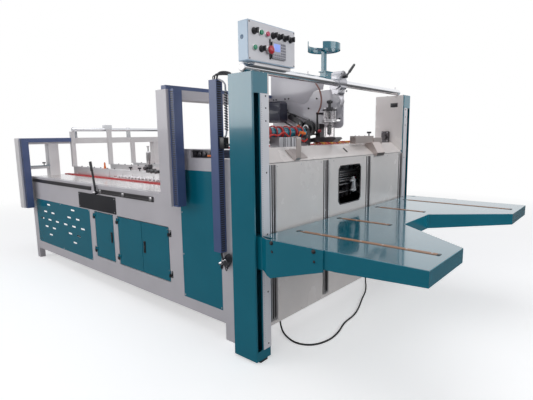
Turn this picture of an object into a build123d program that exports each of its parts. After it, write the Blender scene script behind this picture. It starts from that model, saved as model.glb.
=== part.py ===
from build123d import *
import math
import os

# Folder gluer for corrugated cartons, in millimetres, +Z up, X across the machine and +Y along the
# run of the board. Pieces are laid out from the front face of the two lift columns (Y 0), and save()
# moves them so that the origin is the middle of the footprint on the floor.

# Driving sizes
COLUMN_HEIGHT = 1500.0
PLATFORM_REACH = 862.0
FRAME_END = 3147.0
FRAME_HALF = 847.0
FRONT = (PLATFORM_REACH - FRAME_END) / 2

# Clearances
SEAT = 0.3
RUN = 0.3
PASS = 6.0

# Levels
LEDGE_Z = COLUMN_HEIGHT - 370.0
SEAM_Z = LEDGE_Z - 76.0
UNIT_Z = SEAM_Z + 14.0
TABLE_Z = 830.0
UNDERSIDE = 102.0

# Lift columns
COLUMN_OUT = FRAME_HALF + 93.0
COLUMN_WIDTH = 115.0
COLUMN_DEPTH = 166.0
COLUMN_WALL = 5.0
COLUMN_ROUND = 4.0
COLUMN_FOOT = 12.0
FOOT_PAD = 55.0
LIFT_SLOT_OUT = COLUMN_OUT - 10.0
LIFT_SLOT_WIDTH = 38.0
LIFT_SLOT_LOW = 65.0
LIFT_SLOT_TOP = COLUMN_HEIGHT - 100.0
STRIP_WIDTH = 60.0
STRIP_THICK = 3.0
GUIDE_ROD = 25.0
INSIDE = COLUMN_OUT - COLUMN_WIDTH

# Lift platform
PLATFORM_TOP = 691.0
PLATFORM_HALF = COLUMN_OUT - 17.0
PLATFORM_BACK = 14.0
PLATFORM_SHEET = 3.0
FORK_INNER = 510.0
NOTCH_HALF = 185.0
NOTCH_DEPTH = 408.0
CORNER_NOTCH = (30.0, 72.0)
FLANGE_DEEP = 90.0
FLANGE_TIP = 68.0
STIFFENER_Y = (-58.0, -22.0)
BAR_WIDTH = 26.0
BAR_GAP = 2.0
LONG_BAR_X = 687.0
LONG_BAR = (92.0, 812.0)
SHORT_BAR_X = 254.0
SHORT_BAR = (74.0, 398.0)

# Platform arms
ARM_DROP = 196.0
ARM_END_DROP = 101.0
ARM_REACH = 400.0
ARM_SHEET = 8.0
ARM_HOLE = 14.0
ARM_HOLES = ((-105.0, 58.0), (-353.0, 61.0))

# Front panels and feed ledge
PANEL_Y = 5.0
PANEL_SHEET = 3.0
PANEL_LOW = 173.0
RAIL_X = (33.0 - INSIDE, -286.0, 254.0, INSIDE - 33.0)
RAIL_WIDTH = 52.0
RAIL_LOW = 200.0
RAIL_LIP = 8.0
WINDOW = (-138.0, 144.0)
WINDOW_TOP = SEAM_Z - 55.0
WINDOW_LOW = WINDOW_TOP - 248.0
WINDOW_RADIUS = 36.0
LEDGE_RISE_Y = 92.0
LEDGE_END = 190.0
LEDGE_LIP = 30.0
PORTAL_TUBE = 40.0
SIDE_PLATE = 6.0
SIDE_PLATE_END = 240.0
SIDE_PLATE_LIP = 16.0

# Side frames
FRAME_WALL = 50.0
UNIT_END = 760.0
LEG_FRONT = (210.0, 332.0)
LEG_REAR = 60.0
DOOR_LOW = 235.0
DOOR_TOP = 614.0
DOOR_SHEET = 18.0
TRAY_SHEET = 2.0
DOOR_GAP = 5.5
PAIR_Y = (856.0, 1502.0)
SINGLE_Y = (1566.0, 1860.0)
LATCH = (15.0, 84.0, 6.0)
LATCH_Z = 430.0
LATCH_IN = 34.0
VENT_Y = (1940.0, FRAME_END - 87.0)
VENT_LOW = 182.0
VENT_SLOT = (70.0, 14.0)
VENT_PITCH = (167.0, 73.0)
UNIT_PANEL_Y = (351.0, 715.0)
UNIT_PANEL_Z = (177.0, UNIT_Z - 71.0)
HINGE_PIN = 8.0
HINGE_D = 11.0
HINGE_TALL = 44.0
HINGE_X = -FRAME_HALF - 6.0

# Cross tube, console and glue unit
TUBE_D = 44.0
TUBE_WALL = 4.0
TUBE_Y = 60.0
TUBE_Z = COLUMN_HEIGHT + TUBE_D / 2
TUBE_RIGHT = INSIDE + 5.0
CONSOLE_X = (-COLUMN_OUT - 25.0, -COLUMN_OUT + 334.0)
CONSOLE_DEPTH = 60.0
CONSOLE_Z = (TUBE_Z + 23.0, TUBE_Z + 207.0)
CONTROL_D = 24.0
PLATE_X = -20.0
PLATE_THICK = 8.0
PLATE_FACE = PLATE_X - PLATE_THICK
CLAMP_X = (PLATE_FACE - 84.0, PLATE_FACE)
CLAMP_D = 84.0
ROLLER_D = 66.0
ROLLER_RING = 80.0
ROLLER_Y = 250.0
ROLLER_Z = LEDGE_Z + 82.0
AXLE_D = 24.0

# Bottle stand
STAND_X = -213.0
HOOP_Z = TUBE_Z + 176.0
HOOP_R = 98.0
HOOP_BAND = 38.0
HOOP_SHEET = 4.0
HOOP_OPEN = (131.0, 209.0)

# Wiring gantries
GANTRY_OUT = FRAME_HALF + 118.0
POST_WIDTH = 96.0
NEAR_POST_Y = (UNIT_END - 111.0, UNIT_END - 7.0)
NEAR_POST_LOW = 785.0
NEAR_BAR_Z = (COLUMN_HEIGHT - 89.0, COLUMN_HEIGHT - 32.0)
FAR_POST_Y = (FRAME_END - 97.0, FRAME_END - 7.0)
FAR_POST_LOW = 530.0
FAR_BAR_Z = (1146.0, 1206.0)
FEED_BED_END = NEAR_POST_Y[0] - PASS
DUCT_DEPTH = 45.0
DUCT_WIDTH = 60.0
DUCT_WALL = 2.5
DUCT_PITCH = 12.5
DUCT_SLOT = 5.0

# Folding section
UPPER_Z = 1292.0
UPPER_D = 36.0
BEAM_Z = (850.0, 905.0)
BEAM_X = (-446.0, -35.0, 250.0)
BEAM_START = 1450.0
WEB_SHEET = 6.0
WEB_FLANGE = 34.0
WEB_HOLE = 12.0

# Power cord
CORD_D = 11.0

os.makedirs("parts", exist_ok=True)


def save(name, *shapes):
    """Write one node as a STEP file, moved from the column face to the middle of the footprint."""
    solids = []
    for shape in shapes:
        solids += Compound([shape]).solids() if not isinstance(shape, Compound) else shape.solids()
    moved = [Pos(0, FRONT, 0) * solid for solid in solids]
    export_step(moved[0] if len(moved) == 1 else Compound(children=moved), f"parts/{name}.step")


def box(x, y, z):
    """Solid box from three pairs of limits."""
    x, y, z = sorted(x), sorted(y), sorted(z)
    size = [high - low for low, high in (x, y, z)]
    return Pos(*[sum(pair) / 2 for pair in (x, y, z)]) * Box(*size)


def rounded_box(x, y, z, radius, axis):
    """Box with the four edges along one axis rounded."""
    block = box(x, y, z)
    return fillet(block.edges().filter_by(axis), radius)


def around(centre, width):
    """Pair of limits of a width about a centre."""
    return (centre - width / 2, centre + width / 2)


def mirrored(shape):
    """The same piece on the other side of the machine."""
    return mirror(shape, about=Plane.YZ)


def bar_x(x, y, z, diameter):
    """Round bar along X between two X values."""
    return Pos(sum(x) / 2, y, z) * Rot(0, 90, 0) * Cylinder(diameter / 2, x[1] - x[0])


def bar_y(x, y, z, diameter):
    """Round bar along Y between two Y values."""
    return Pos(x, sum(y) / 2, z) * Rot(90, 0, 0) * Cylinder(diameter / 2, y[1] - y[0])


def bar_z(x, y, z, diameter):
    """Round bar along Z between two Z values."""
    return Pos(x, y, sum(z) / 2) * Cylinder(diameter / 2, z[1] - z[0])


def turned(profile):
    """Solid turned about the Z axis from (radius, height) points that start and end on the axis."""
    face = make_face(Polyline([(radius, 0, height) for radius, height in profile], close=True))
    return revolve(face, axis=Axis.Z)


def plate_x(outline, x):
    """Plate square to X with an outline of (y, z) points, between two X values."""
    face = make_face(Polyline([(x[0], y, z) for y, z in outline], close=True))
    return extrude(face, amount=x[1] - x[0], dir=(1, 0, 0))


def plate_z(outline, z):
    """Plate square to Z with an outline of (x, y) points, between two Z values."""
    face = make_face(Polyline([(x, y, z[0]) for x, y in outline], close=True))
    return extrude(face, amount=z[1] - z[0], dir=(0, 0, 1))


def strap_x(route, x, sheet, radius):
    """Bent strap of sheet that follows (y, z) points, as wide as two X values."""
    line = FilletPolyline(*route, radius=radius)
    band = extrude(Plane.YZ * trace(line, line_width=sheet), amount=x[1] - x[0], dir=(1, 0, 0))
    return Pos(x[0], 0, 0) * band


def star_knob(x, y, z, size):
    """Five-lobed hand knob whose screw's foot stands at a point."""
    head = Cylinder(size * 0.62, size * 0.8)
    for turn in range(5):
        head += Rot(0, 0, turn * 72) * Pos(size * 0.62, 0, 0) * Cylinder(size * 0.38, size * 0.8)
    stem = Pos(0, 0, -size * 0.9) * Cylinder(size * 0.28, size * 1.2)
    return Pos(x, y, z + size * 1.5) * (head + stem)


# Lift columns with their guide rods, scale strips and foot pads
def lift_column():
    """Left column: a hollow box with a slot down its front for the platform arm."""
    x = (-COLUMN_OUT, -INSIDE)
    outer = rounded_box(x, (0, COLUMN_DEPTH), (COLUMN_FOOT, COLUMN_HEIGHT), COLUMN_ROUND, Axis.Z)
    inner = (x[0] + COLUMN_WALL, x[1] - COLUMN_WALL)
    outer -= box(inner, (COLUMN_WALL, COLUMN_DEPTH - COLUMN_WALL),
                 (COLUMN_FOOT + COLUMN_WALL, COLUMN_HEIGHT - COLUMN_WALL))
    slot = (-LIFT_SLOT_OUT, -LIFT_SLOT_OUT + LIFT_SLOT_WIDTH)
    return outer - box(slot, (-1, COLUMN_WALL + 1), (LIFT_SLOT_LOW, LIFT_SLOT_TOP))


ROD_X = -COLUMN_OUT + COLUMN_WIDTH / 2
ROD_Y = COLUMN_DEPTH / 2
column = lift_column()
save("lift_columns", column, mirrored(column))

rod = bar_z(ROD_X, ROD_Y, (COLUMN_FOOT + COLUMN_WALL, COLUMN_HEIGHT - COLUMN_WALL), GUIDE_ROD)
save("guide_rods", rod, mirrored(rod))

strip = box((-INSIDE - STRIP_WIDTH, -INSIDE), (-STRIP_THICK, 0), (LIFT_SLOT_LOW, LIFT_SLOT_TOP))
save("scale_strips", strip, mirrored(strip))

pads = []
for side in (-1, 1):
    for y in (FOOT_PAD / 2, COLUMN_DEPTH - FOOT_PAD / 2):
        pads.append(Pos(-side * ROD_X, y, COLUMN_FOOT / 2) * Box(FOOT_PAD, FOOT_PAD, COLUMN_FOOT))
save("column_feet", *pads)


# Lift platform: a folded sheet with two forks, carried by an arm on each column
def fork_outline(inset):
    """Outline of the platform in plan, moved inwards by an inset."""
    run = FORK_INNER - NOTCH_HALF
    skew = inset * (math.hypot(run, NOTCH_DEPTH) - run) / NOTCH_DEPTH
    slant = inset * math.hypot(run, NOTCH_DEPTH) / NOTCH_DEPTH
    tip_y = -PLATFORM_REACH + inset
    tip_x = FORK_INNER + slant - inset * run / NOTCH_DEPTH
    notch_y = -PLATFORM_REACH + NOTCH_DEPTH + inset
    notch_x = NOTCH_HALF + skew
    right = [(PLATFORM_HALF - inset, -PLATFORM_BACK - inset), (PLATFORM_HALF - inset, tip_y),
             (tip_x, tip_y), (notch_x, notch_y)]
    return right + [(-x, y) for x, y in reversed(right)]


def platform_sheet():
    """Folded sheet of the platform, its flange tapering along the forks, with a stiffening angle."""
    low = PLATFORM_TOP - FLANGE_DEEP
    ring = plate_z(fork_outline(0), (low, PLATFORM_TOP))
    ring = fillet(ring.edges().group_by(Axis.Z)[-1], PLATFORM_SHEET)
    ring -= plate_z(fork_outline(PLATFORM_SHEET), (low - 1, PLATFORM_TOP - PLATFORM_SHEET))
    taper_y = -PLATFORM_REACH + NOTCH_DEPTH
    wedge = [(-PLATFORM_REACH - 1, PLATFORM_TOP - FLANGE_TIP), (taper_y, low), (taper_y, low - 1),
             (-PLATFORM_REACH - 1, low - 1)]
    ring -= plate_x(wedge, (-PLATFORM_HALF - 1, PLATFORM_HALF + 1))
    inner = PLATFORM_HALF - CORNER_NOTCH[0] - PLATFORM_SHEET
    angle = box((-inner, inner), STIFFENER_Y, (low + 30, PLATFORM_TOP - PLATFORM_SHEET))
    angle -= box((-inner - 1, inner + 1), (STIFFENER_Y[0] - 1, STIFFENER_Y[1] - PLATFORM_SHEET),
                 (low + 30 + PLATFORM_SHEET, PLATFORM_TOP))
    return ring + angle


platform = platform_sheet()
for side in (-1, 1):
    platform -= box((side * (PLATFORM_HALF - CORNER_NOTCH[0]), side * (PLATFORM_HALF + 1)),
                    (-PLATFORM_BACK - CORNER_NOTCH[1], 0), (0, PLATFORM_TOP + 1))
bars = []
for x, (near, far) in ((LONG_BAR_X, LONG_BAR), (SHORT_BAR_X, SHORT_BAR)):
    for side in (-1, 1):
        platform -= box(around(side * x, BAR_WIDTH + 2 * BAR_GAP), (-far, -near),
                        (PLATFORM_TOP - PLATFORM_SHEET - 1, PLATFORM_TOP + 1))
        head = rounded_box(around(side * x, BAR_WIDTH), (-far + BAR_GAP, -near - BAR_WIDTH),
                           (PLATFORM_TOP - PLATFORM_SHEET - 1, PLATFORM_TOP + 2), 4, Axis.Z)
        flange = box(around(side * x, 2 * BAR_WIDTH), (-far - BAR_GAP, -near + BAR_GAP),
                     (PLATFORM_TOP - PLATFORM_SHEET - 5, PLATFORM_TOP - PLATFORM_SHEET))
        bars.append(head + flange)
save("lift_platform", platform)
save("platform_bars", *bars)


def platform_arm():
    """Left arm: a tapered plate beside the fork, bent inwards through the column's slot."""
    slot_x = -LIFT_SLOT_OUT + LIFT_SLOT_WIDTH / 2
    plate_mid = -PLATFORM_HALF - ARM_SHEET / 2
    carriage_y = (COLUMN_WALL + PASS, COLUMN_DEPTH - COLUMN_WALL - PASS)
    route = FilletPolyline((plate_mid, -ARM_REACH), (plate_mid, -70), (slot_x, -30),
                           (slot_x, carriage_y[0] + 10), radius=20)
    low = PLATFORM_TOP - ARM_DROP
    arm = extrude(Pos(0, 0, low) * trace(route, line_width=ARM_SHEET), amount=ARM_DROP)
    neck_low = low + 26
    taper = [(-ARM_REACH - 1, PLATFORM_TOP - ARM_END_DROP), (-89, low), (-40, neck_low), (60, neck_low),
             (60, low - 1), (-ARM_REACH - 1, low - 1)]
    arm -= plate_x(taper, (-COLUMN_OUT, -INSIDE + 25))
    for y, drop in ARM_HOLES:
        arm -= bar_x((-COLUMN_OUT, -PLATFORM_HALF), y, PLATFORM_TOP - drop, ARM_HOLE)
    x = (-COLUMN_OUT + COLUMN_WALL + PASS, -INSIDE - COLUMN_WALL - PASS)
    arm += box(x, carriage_y, (neck_low, PLATFORM_TOP))
    return arm - bar_z(ROD_X, ROD_Y, (neck_low - 1, PLATFORM_TOP + 1), GUIDE_ROD + 2 * RUN)


arm = platform_arm()
save("platform_arms", arm, mirrored(arm))

# Front: portal frame, panels with vertical rails, sloped ledge and side plates
panel_back = PANEL_Y + PANEL_SHEET
portal_y = (panel_back, panel_back + PORTAL_TUBE)
portal = box((-INSIDE, INSIDE), portal_y, (PANEL_LOW, SEAM_Z - 4))
edge = PORTAL_TUBE / 2
bays = (-INSIDE + edge, RAIL_X[1], RAIL_X[2], INSIDE - edge)
for left, right in zip(bays, bays[1:]):
    portal -= box((left + edge, right - edge), (0, 100), (PANEL_LOW + PORTAL_TUBE, SEAM_Z - 4 - PORTAL_TUBE))
save("front_frame", portal)

PANEL_HALF = INSIDE - SIDE_PLATE - 1
edges = (-PANEL_HALF, RAIL_X[1], RAIL_X[2], PANEL_HALF)


def front_panel(left, right):
    """One sheet of the front between two rail lines."""
    return box((left + 1, right - 1), (PANEL_Y, panel_back), (PANEL_LOW, SEAM_Z - 2))


window = Pos(sum(WINDOW) / 2, PANEL_Y, (WINDOW_LOW + WINDOW_TOP) / 2) * Rot(90, 0, 0) * extrude(
    RectangleRounded(WINDOW[1] - WINDOW[0], WINDOW_TOP - WINDOW_LOW, WINDOW_RADIUS), amount=20, both=True)
save("front_panels", *[front_panel(left, right) - window for left, right in zip(edges, edges[1:])])

rails = []
for x in RAIL_X:
    channel = box(around(x, RAIL_WIDTH), (PANEL_Y - RAIL_LIP, PANEL_Y), (RAIL_LOW, SEAM_Z - RAIL_LIP))
    groove = box(around(x, RAIL_WIDTH - 2 * RAIL_LIP), (PANEL_Y - RAIL_LIP - 1, PANEL_Y - 3),
                 (RAIL_LOW + 12, SEAM_Z))
    rails.append(channel - groove)
save("panel_rails", *rails)

SLOPE = (LEDGE_Z - SEAM_Z - 1) / (LEDGE_RISE_Y - PANEL_Y - 2)


def above_slope(y, lift):
    """Height of the ledge's sloped face at a given Y, raised by a small lift."""
    return SEAM_Z + 1 + (y - PANEL_Y - 2) * SLOPE + PANEL_SHEET / 2 * math.hypot(1, SLOPE) + lift


ledge = strap_x([(PANEL_Y + 2, SEAM_Z + 1), (LEDGE_RISE_Y, LEDGE_Z), (LEDGE_END, LEDGE_Z),
                 (LEDGE_END, LEDGE_Z - LEDGE_LIP)], (-PANEL_HALF, PANEL_HALF), PANEL_SHEET, 4)
GRIP_HOLE = (15.0, 50.0)
grip_plane = Plane(origin=(GRIP_HOLE[0], GRIP_HOLE[1], above_slope(GRIP_HOLE[1], 0)), x_dir=(1, 0, 0),
                   z_dir=(0, -SLOPE, 1))
ledge -= extrude(grip_plane * SlotOverall(46, 22, rotation=90), amount=12, both=True)
save("front_ledge", ledge)

side_plate = box((-INSIDE, -INSIDE + SIDE_PLATE), (panel_back, SIDE_PLATE_END), (UNIT_Z, COLUMN_HEIGHT))
side_plate += box((-INSIDE, -INSIDE + SIDE_PLATE_LIP), (panel_back, panel_back + SIDE_PLATE),
                  (LEDGE_Z + 20, COLUMN_HEIGHT))
side_plate -= Pos(-INSIDE, 85, COLUMN_HEIGHT - 76) * Rot(0, 90, 0) * extrude(
    SlotOverall(46, 31, rotation=90), amount=30, both=True)
save("side_plates", side_plate, mirrored(side_plate))


# Side frames, their panels and the cabinet doors
def side_frame():
    """Left side frame: one wall with its legs and its door and panel openings."""
    outline = [(COLUMN_DEPTH, UNDERSIDE), (LEG_FRONT[0], UNDERSIDE), (LEG_FRONT[0], 0), (LEG_FRONT[1], 0),
               (LEG_FRONT[1], UNDERSIDE), (FRAME_END - LEG_REAR, UNDERSIDE), (FRAME_END - LEG_REAR, 0),
               (FRAME_END, 0), (FRAME_END, TABLE_Z), (UNIT_END, TABLE_Z), (UNIT_END, UNIT_Z),
               (COLUMN_DEPTH, UNIT_Z)]
    x = (-FRAME_HALF, -FRAME_HALF + FRAME_WALL)
    wall = plate_x(outline, x)
    for y, z in ((PAIR_Y, (DOOR_LOW, DOOR_TOP)), (SINGLE_Y, (DOOR_LOW, DOOR_TOP)),
                 (VENT_Y, (VENT_LOW, DOOR_TOP)), (UNIT_PANEL_Y, UNIT_PANEL_Z)):
        wall -= box((x[0] - 1, x[1] + 1), y, z)
    return wall


frame = side_frame()
save("side_frame_left", frame)
save("side_frame_right", mirrored(frame))

RIM_X = (-FRAME_HALF, -PANEL_HALF - 4.0)
RIM_POCKET = (UNIT_PANEL_Y[0] + 20.0, 595.0)


def unit_rim(end):
    """Low wall beside the feed bed, with a pocket sunk in its outer face."""
    wall = box(RIM_X, (UNIT_PANEL_Y[0], end), (UNIT_Z, LEDGE_Z - 6))
    return wall - box((RIM_X[0] - 1, RIM_X[0] + 16), RIM_POCKET, (UNIT_Z + 4, LEDGE_Z - 12))


save("unit_rims", unit_rim(UNIT_PANEL_Y[1]), mirrored(unit_rim(FEED_BED_END)))


def tray(y, z, gap):
    """Folded sheet tray that stands flush in an opening of the side frame, open to the inside."""
    x = (-FRAME_HALF, -FRAME_HALF + DOOR_SHEET)
    y = (y[0] + gap, y[1] - gap)
    z = (z[0] + gap, z[1] - gap)
    inner = [(low + TRAY_SHEET, high - TRAY_SHEET) for low, high in (y, z)]
    return box(x, y, z) - box((x[0] + TRAY_SHEET, x[1] + 1), *inner)


unit_panel = tray(UNIT_PANEL_Y, UNIT_PANEL_Z, 0)
vent = tray(VENT_Y, (VENT_LOW, DOOR_TOP), 0)
vent_mid = DOOR_TOP - 185.0
for centre in (VENT_Y[1] - 292.0, VENT_Y[1] - 802.0):
    for row, count in ((2, 1), (1, 2), (0, 3), (-1, 2), (-2, 1)):
        for place in range(count):
            y = centre + (place - (count - 1) / 2) * VENT_PITCH[0]
            vent -= Pos(-FRAME_HALF, y, vent_mid + row * VENT_PITCH[1]) * Rot(0, 90, 0) * extrude(
                SlotOverall(*VENT_SLOT, rotation=90), amount=TRAY_SHEET + 1, both=True)
save("vent_panels", vent, mirrored(vent))

hinges = []


def latch_place(y, low_side):
    """Middle of a latch near the low-Y or the high-Y edge of a door."""
    return y[0] + LATCH_IN if low_side else y[1] - LATCH_IN


def latch(y):
    """Paddle latch in the face of a door: a raised rim round a sunk handle."""
    body = rounded_box((-FRAME_HALF - 3, -FRAME_HALF + TRAY_SHEET), around(y, LATCH[0] + 8),
                       around(LATCH_Z, LATCH[1]), LATCH[2], Axis.X)
    return body - rounded_box((-FRAME_HALF - 4, -FRAME_HALF - 1), around(y, LATCH[0]),
                              around(LATCH_Z, LATCH[1] - 12), LATCH[2] / 2, Axis.X)


def door(y, hinge_end):
    """Door leaf hinged at its low-Y (0) or high-Y (1) edge, with its two barrels."""
    leaf = tray(y, (DOOR_LOW, DOOR_TOP), DOOR_GAP)
    axis = y[hinge_end]
    inward = 1 - 2 * hinge_end
    for z in (DOOR_LOW + 60, DOOR_TOP - 40):
        upper = (z + 1, z + HINGE_TALL / 2)
        lower = (z - HINGE_TALL / 2, z)
        wing = sorted((axis + inward * 2, axis + inward * 22))
        leaf += box((HINGE_X, -FRAME_HALF), wing, upper) + bar_z(HINGE_X, axis, upper, HINGE_D)
        leaf -= bar_z(HINGE_X, axis, (upper[0] - 1, upper[1] + 1), HINGE_PIN + 2 * RUN)
        wing = sorted((axis - inward * 2, axis - inward * 22))
        knuckle = box((HINGE_X, -FRAME_HALF), wing, lower) + bar_z(HINGE_X, axis, lower, HINGE_D)
        hinges.append(knuckle + bar_z(HINGE_X, axis, (lower[0], upper[1]), HINGE_PIN))
    return leaf


def latched(leaf, y):
    """Door leaf with the cut-out that its latch fills."""
    return leaf - rounded_box((-FRAME_HALF - 1, -FRAME_HALF + TRAY_SHEET + 1), around(y, LATCH[0] + 8 + 2 * SEAT),
                              around(LATCH_Z, LATCH[1] + 2 * SEAT), LATCH[2], Axis.X)


PAIR_MID = sum(PAIR_Y) / 2
LEAF_FRONT = (PAIR_Y[0], PAIR_MID + DOOR_GAP / 2)
LEAF_REAR = (PAIR_MID - DOOR_GAP / 2, PAIR_Y[1])
latch_front = latch_place(LEAF_FRONT, False)
latch_single = latch_place(SINGLE_Y, True)
save("door_front", latched(door(LEAF_FRONT, 0), latch_front))
save("door_rear", door(LEAF_REAR, 1))
save("door_single", latched(door(SINGLE_Y, 1), latch_single))
save("latch_front", latch(latch_front))
save("latch_single", latch(latch_single))
save("door_hinges", *hinges)
blank = [mirrored(tray(y, (DOOR_LOW, DOOR_TOP), 0)) for y in (PAIR_Y, SINGLE_Y)]
save("side_covers", unit_panel, mirrored(unit_panel), *blank)

# Cross beams, table sheet and the drive behind the front window, between the side frames
FRAME_IN = FRAME_HALF - FRAME_WALL
beams = []
for y in (400.0, 1532.0, FRAME_END - 647.0, FRAME_END - 67.0):
    beams.append(box((-FRAME_IN, FRAME_IN), (y, y + 60), (UNDERSIDE, UNDERSIDE + 60)))
save("cross_beams", *beams)
save("table_sheet", box((-FRAME_IN, FRAME_IN), (UNIT_END + 60, FRAME_END - 20), (TABLE_Z - 3, TABLE_Z)))


def inner_drive():
    """Cross shaft with a chain wheel, a crank arm and two pinch rolls, seen through the window."""
    shaft_y, shaft_z = 230.0, WINDOW_LOW + 95.0
    roll_z = WINDOW_TOP - 70.0
    drive = bar_x((-FRAME_IN, FRAME_IN), shaft_y, shaft_z, 30)
    drive += bar_x((-FRAME_IN, FRAME_IN), shaft_y - 30, roll_z, 46)
    for x in (60.0, 330.0):
        drive += bar_x((x, x + 14), shaft_y, shaft_z, 130)
        drive += box((x + 24, x + 36), (shaft_y - 50, shaft_y + 15), (shaft_z - 20, roll_z + 40))
    for x in (180.0, 420.0):
        drive += bar_x((x, x + 60), shaft_y, shaft_z, 84)
    return drive


save("inner_drive", inner_drive())

# Cross tube on the column tops, with its clamp, locking lever and the stand for the glue bottle
tube = bar_x((-COLUMN_OUT, TUBE_RIGHT), TUBE_Y, TUBE_Z, TUBE_D)
tube -= bar_x((-COLUMN_OUT - 1, TUBE_RIGHT + 1), TUBE_Y, TUBE_Z, TUBE_D - 2 * TUBE_WALL)
save("cross_tube", tube)

BOSS_Z = TUBE_Z + 34.0
BOSS_D = 74.0
clamp = bar_x(CLAMP_X, TUBE_Y, TUBE_Z, CLAMP_D)
clamp += bar_y(sum(CLAMP_X) / 2, (TUBE_Y - 40, TUBE_Y + 30), BOSS_Z, BOSS_D)
clamp += rounded_box((CLAMP_X[0] + 8, CLAMP_X[1]), (TUBE_Y - 24, TUBE_Y + 24), (TUBE_Z - 70, TUBE_Z), 10, Axis.X)
for y in (TUBE_Y - 30, TUBE_Y + 30):
    clamp += bar_x((CLAMP_X[0] + 10, CLAMP_X[1] - 10), y, TUBE_Z - 30, 26)
clamp -= bar_x((CLAMP_X[0] - 1, CLAMP_X[1] + 1), TUBE_Y, TUBE_Z, TUBE_D)
save("tube_clamp", clamp)

lever_x = sum(CLAMP_X) / 2
lever_y = TUBE_Y - 40
grip = turned([(0, 0), (9, 0), (6, 20), (6, 45), (9, 50), (8, 125), (6, 131), (0, 132)])
lever = bar_y(lever_x, (lever_y - 26, lever_y), BOSS_Z, 18)
lever += Pos(lever_x, lever_y - 18, BOSS_Z) * Rot(0, 50, 0) * grip
save("clamp_lever", lever)


def bottle_stand():
    """Saddle on the tube, post and open hoop of bent flat bar with a raised end."""
    saddle_top = TUBE_Z + 54
    base = box(around(STAND_X, 64), around(TUBE_Y, 40), (TUBE_Z, saddle_top - 6))
    base += box(around(STAND_X, 80), around(TUBE_Y, 52), (saddle_top - 6, saddle_top))
    base -= bar_x((STAND_X - 50, STAND_X + 50), TUBE_Y, TUBE_Z, TUBE_D)
    post_y = TUBE_Y + 14
    post = rounded_box(around(STAND_X, 26), around(post_y, 26), (saddle_top, HOOP_Z + 4), 4, Axis.Z)
    hoop = Cylinder(HOOP_R, HOOP_BAND) - Cylinder(HOOP_R - HOOP_SHEET, HOOP_BAND + 1)
    first, last = [math.radians(angle) for angle in HOOP_OPEN]
    far = 2 * HOOP_R
    hoop -= extrude(make_face(Polyline((0, 0), (far * math.cos(first), far * math.sin(first)), (-far, 0),
                                       (far * math.cos(last), far * math.sin(last)), close=True)),
                    amount=HOOP_BAND, both=True)
    cross = box((-HOOP_R + 1, HOOP_R - 1), (-13, 13), (-HOOP_BAND / 2, -HOOP_BAND / 2 + 4))
    tab = Rot(0, 0, HOOP_OPEN[0]) * box((HOOP_R - HOOP_SHEET, HOOP_R), (-12, 4), (-HOOP_BAND / 2, HOOP_BAND))
    return base + post + Pos(STAND_X, post_y, HOOP_Z + HOOP_BAND / 2) * (hoop + cross + tab)


save("bottle_stand", bottle_stand())

# Control console on the left end of the tube
saddle = box((CONSOLE_X[0] + 60, CONSOLE_X[1] - 20), (12, 56), (TUBE_Z + 8, CONSOLE_Z[0]))
saddle -= bar_x((CONSOLE_X[0], 0), TUBE_Y, TUBE_Z, TUBE_D)
save("console_saddle", saddle)
save("console_box", rounded_box(CONSOLE_X, (0, CONSOLE_DEPTH), CONSOLE_Z, 5, Axis.Y))
FACE_Y = -3.0
face = rounded_box((CONSOLE_X[0] + 4, CONSOLE_X[1] - 4), (FACE_Y, 0), (CONSOLE_Z[0] + 4, CONSOLE_Z[1] - 4), 4,
                   Axis.Y)
save("console_face", face)


def on_face(solid, x, z):
    """Control turned to stand out of the console's face."""
    return Pos(x, FACE_Y, z) * Rot(90, 0, 0) * solid


ROW_HIGH = CONSOLE_Z[1] - 48.0
ROW_LOW = CONSOLE_Z[0] + 62.0
FIRST_X = CONSOLE_X[0] + 42.0
bezel = [(0, 0), (CONTROL_D / 2 + 2, 0), (CONTROL_D / 2 + 2, 4), (CONTROL_D / 2, 7)]
lamp = turned(bezel + [(CONTROL_D / 2 - 2, 8), (CONTROL_D / 2 - 4, 15), (0, 17)])
button = turned(bezel + [(CONTROL_D / 2 - 1, 14), (0, 14)])
selector = turned(bezel + [(0, 8)]) + box(around(0, 8), around(0, CONTROL_D - 4), (6, 20))
mushroom = turned(bezel + [(9, 8), (9, 20), (20, 24), (20, 30), (12, 34), (0, 35)])
controls = [on_face(lamp, FIRST_X + place * 46, ROW_HIGH) for place in range(3)]
controls += [on_face(selector, FIRST_X + place * 46, ROW_HIGH) for place in range(3, 7)]
controls += [on_face(kind, FIRST_X + place * 50, ROW_LOW) for place, kind in
             enumerate((button, selector, mushroom))]
save("console_controls", *controls)
DISPLAY_X = (CONSOLE_X[0] + 165.0, CONSOLE_X[0] + 270.0)
DISPLAY_Z = (ROW_LOW - 36.0, ROW_LOW + 44.0)
display = rounded_box(DISPLAY_X, (FACE_Y - 7, FACE_Y), DISPLAY_Z, 4, Axis.Y)
display -= box((DISPLAY_X[0] + 12, DISPLAY_X[1] - 12), (FACE_Y - 8, FACE_Y - 5), (ROW_LOW + 8, DISPLAY_Z[1] - 10))
for column_place in range(5):
    for row_place in range(2):
        display += box(around(DISPLAY_X[0] + 20 + column_place * 16, 11), (FACE_Y - 9, FACE_Y - 6),
                       around(DISPLAY_Z[0] + 12 + row_place * 15, 9))
save("counter_display", display)

# Glue unit: a plate hung from the clamp with motor, pulleys, belt, glue pot and feed shoe
PLATE_TOP = COLUMN_HEIGHT - 10.0
PLATE_LOW = LEDGE_Z + 110.0
PLATE_Y = (45.0, NEAR_POST_Y[0] - 9.0)
plate = box((PLATE_FACE, PLATE_X), PLATE_Y, (PLATE_LOW, PLATE_TOP))
plate = fillet(plate.edges().filter_by(Axis.X).group_by(Axis.Z)[0], 30)
plate -= Pos(PLATE_X, PLATE_Y[0] + 38, PLATE_LOW + 50) * Rot(0, 90, 0) * extrude(
    SlotOverall(34, 13, rotation=90), amount=20, both=True)
save("glue_plate", plate)

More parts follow.
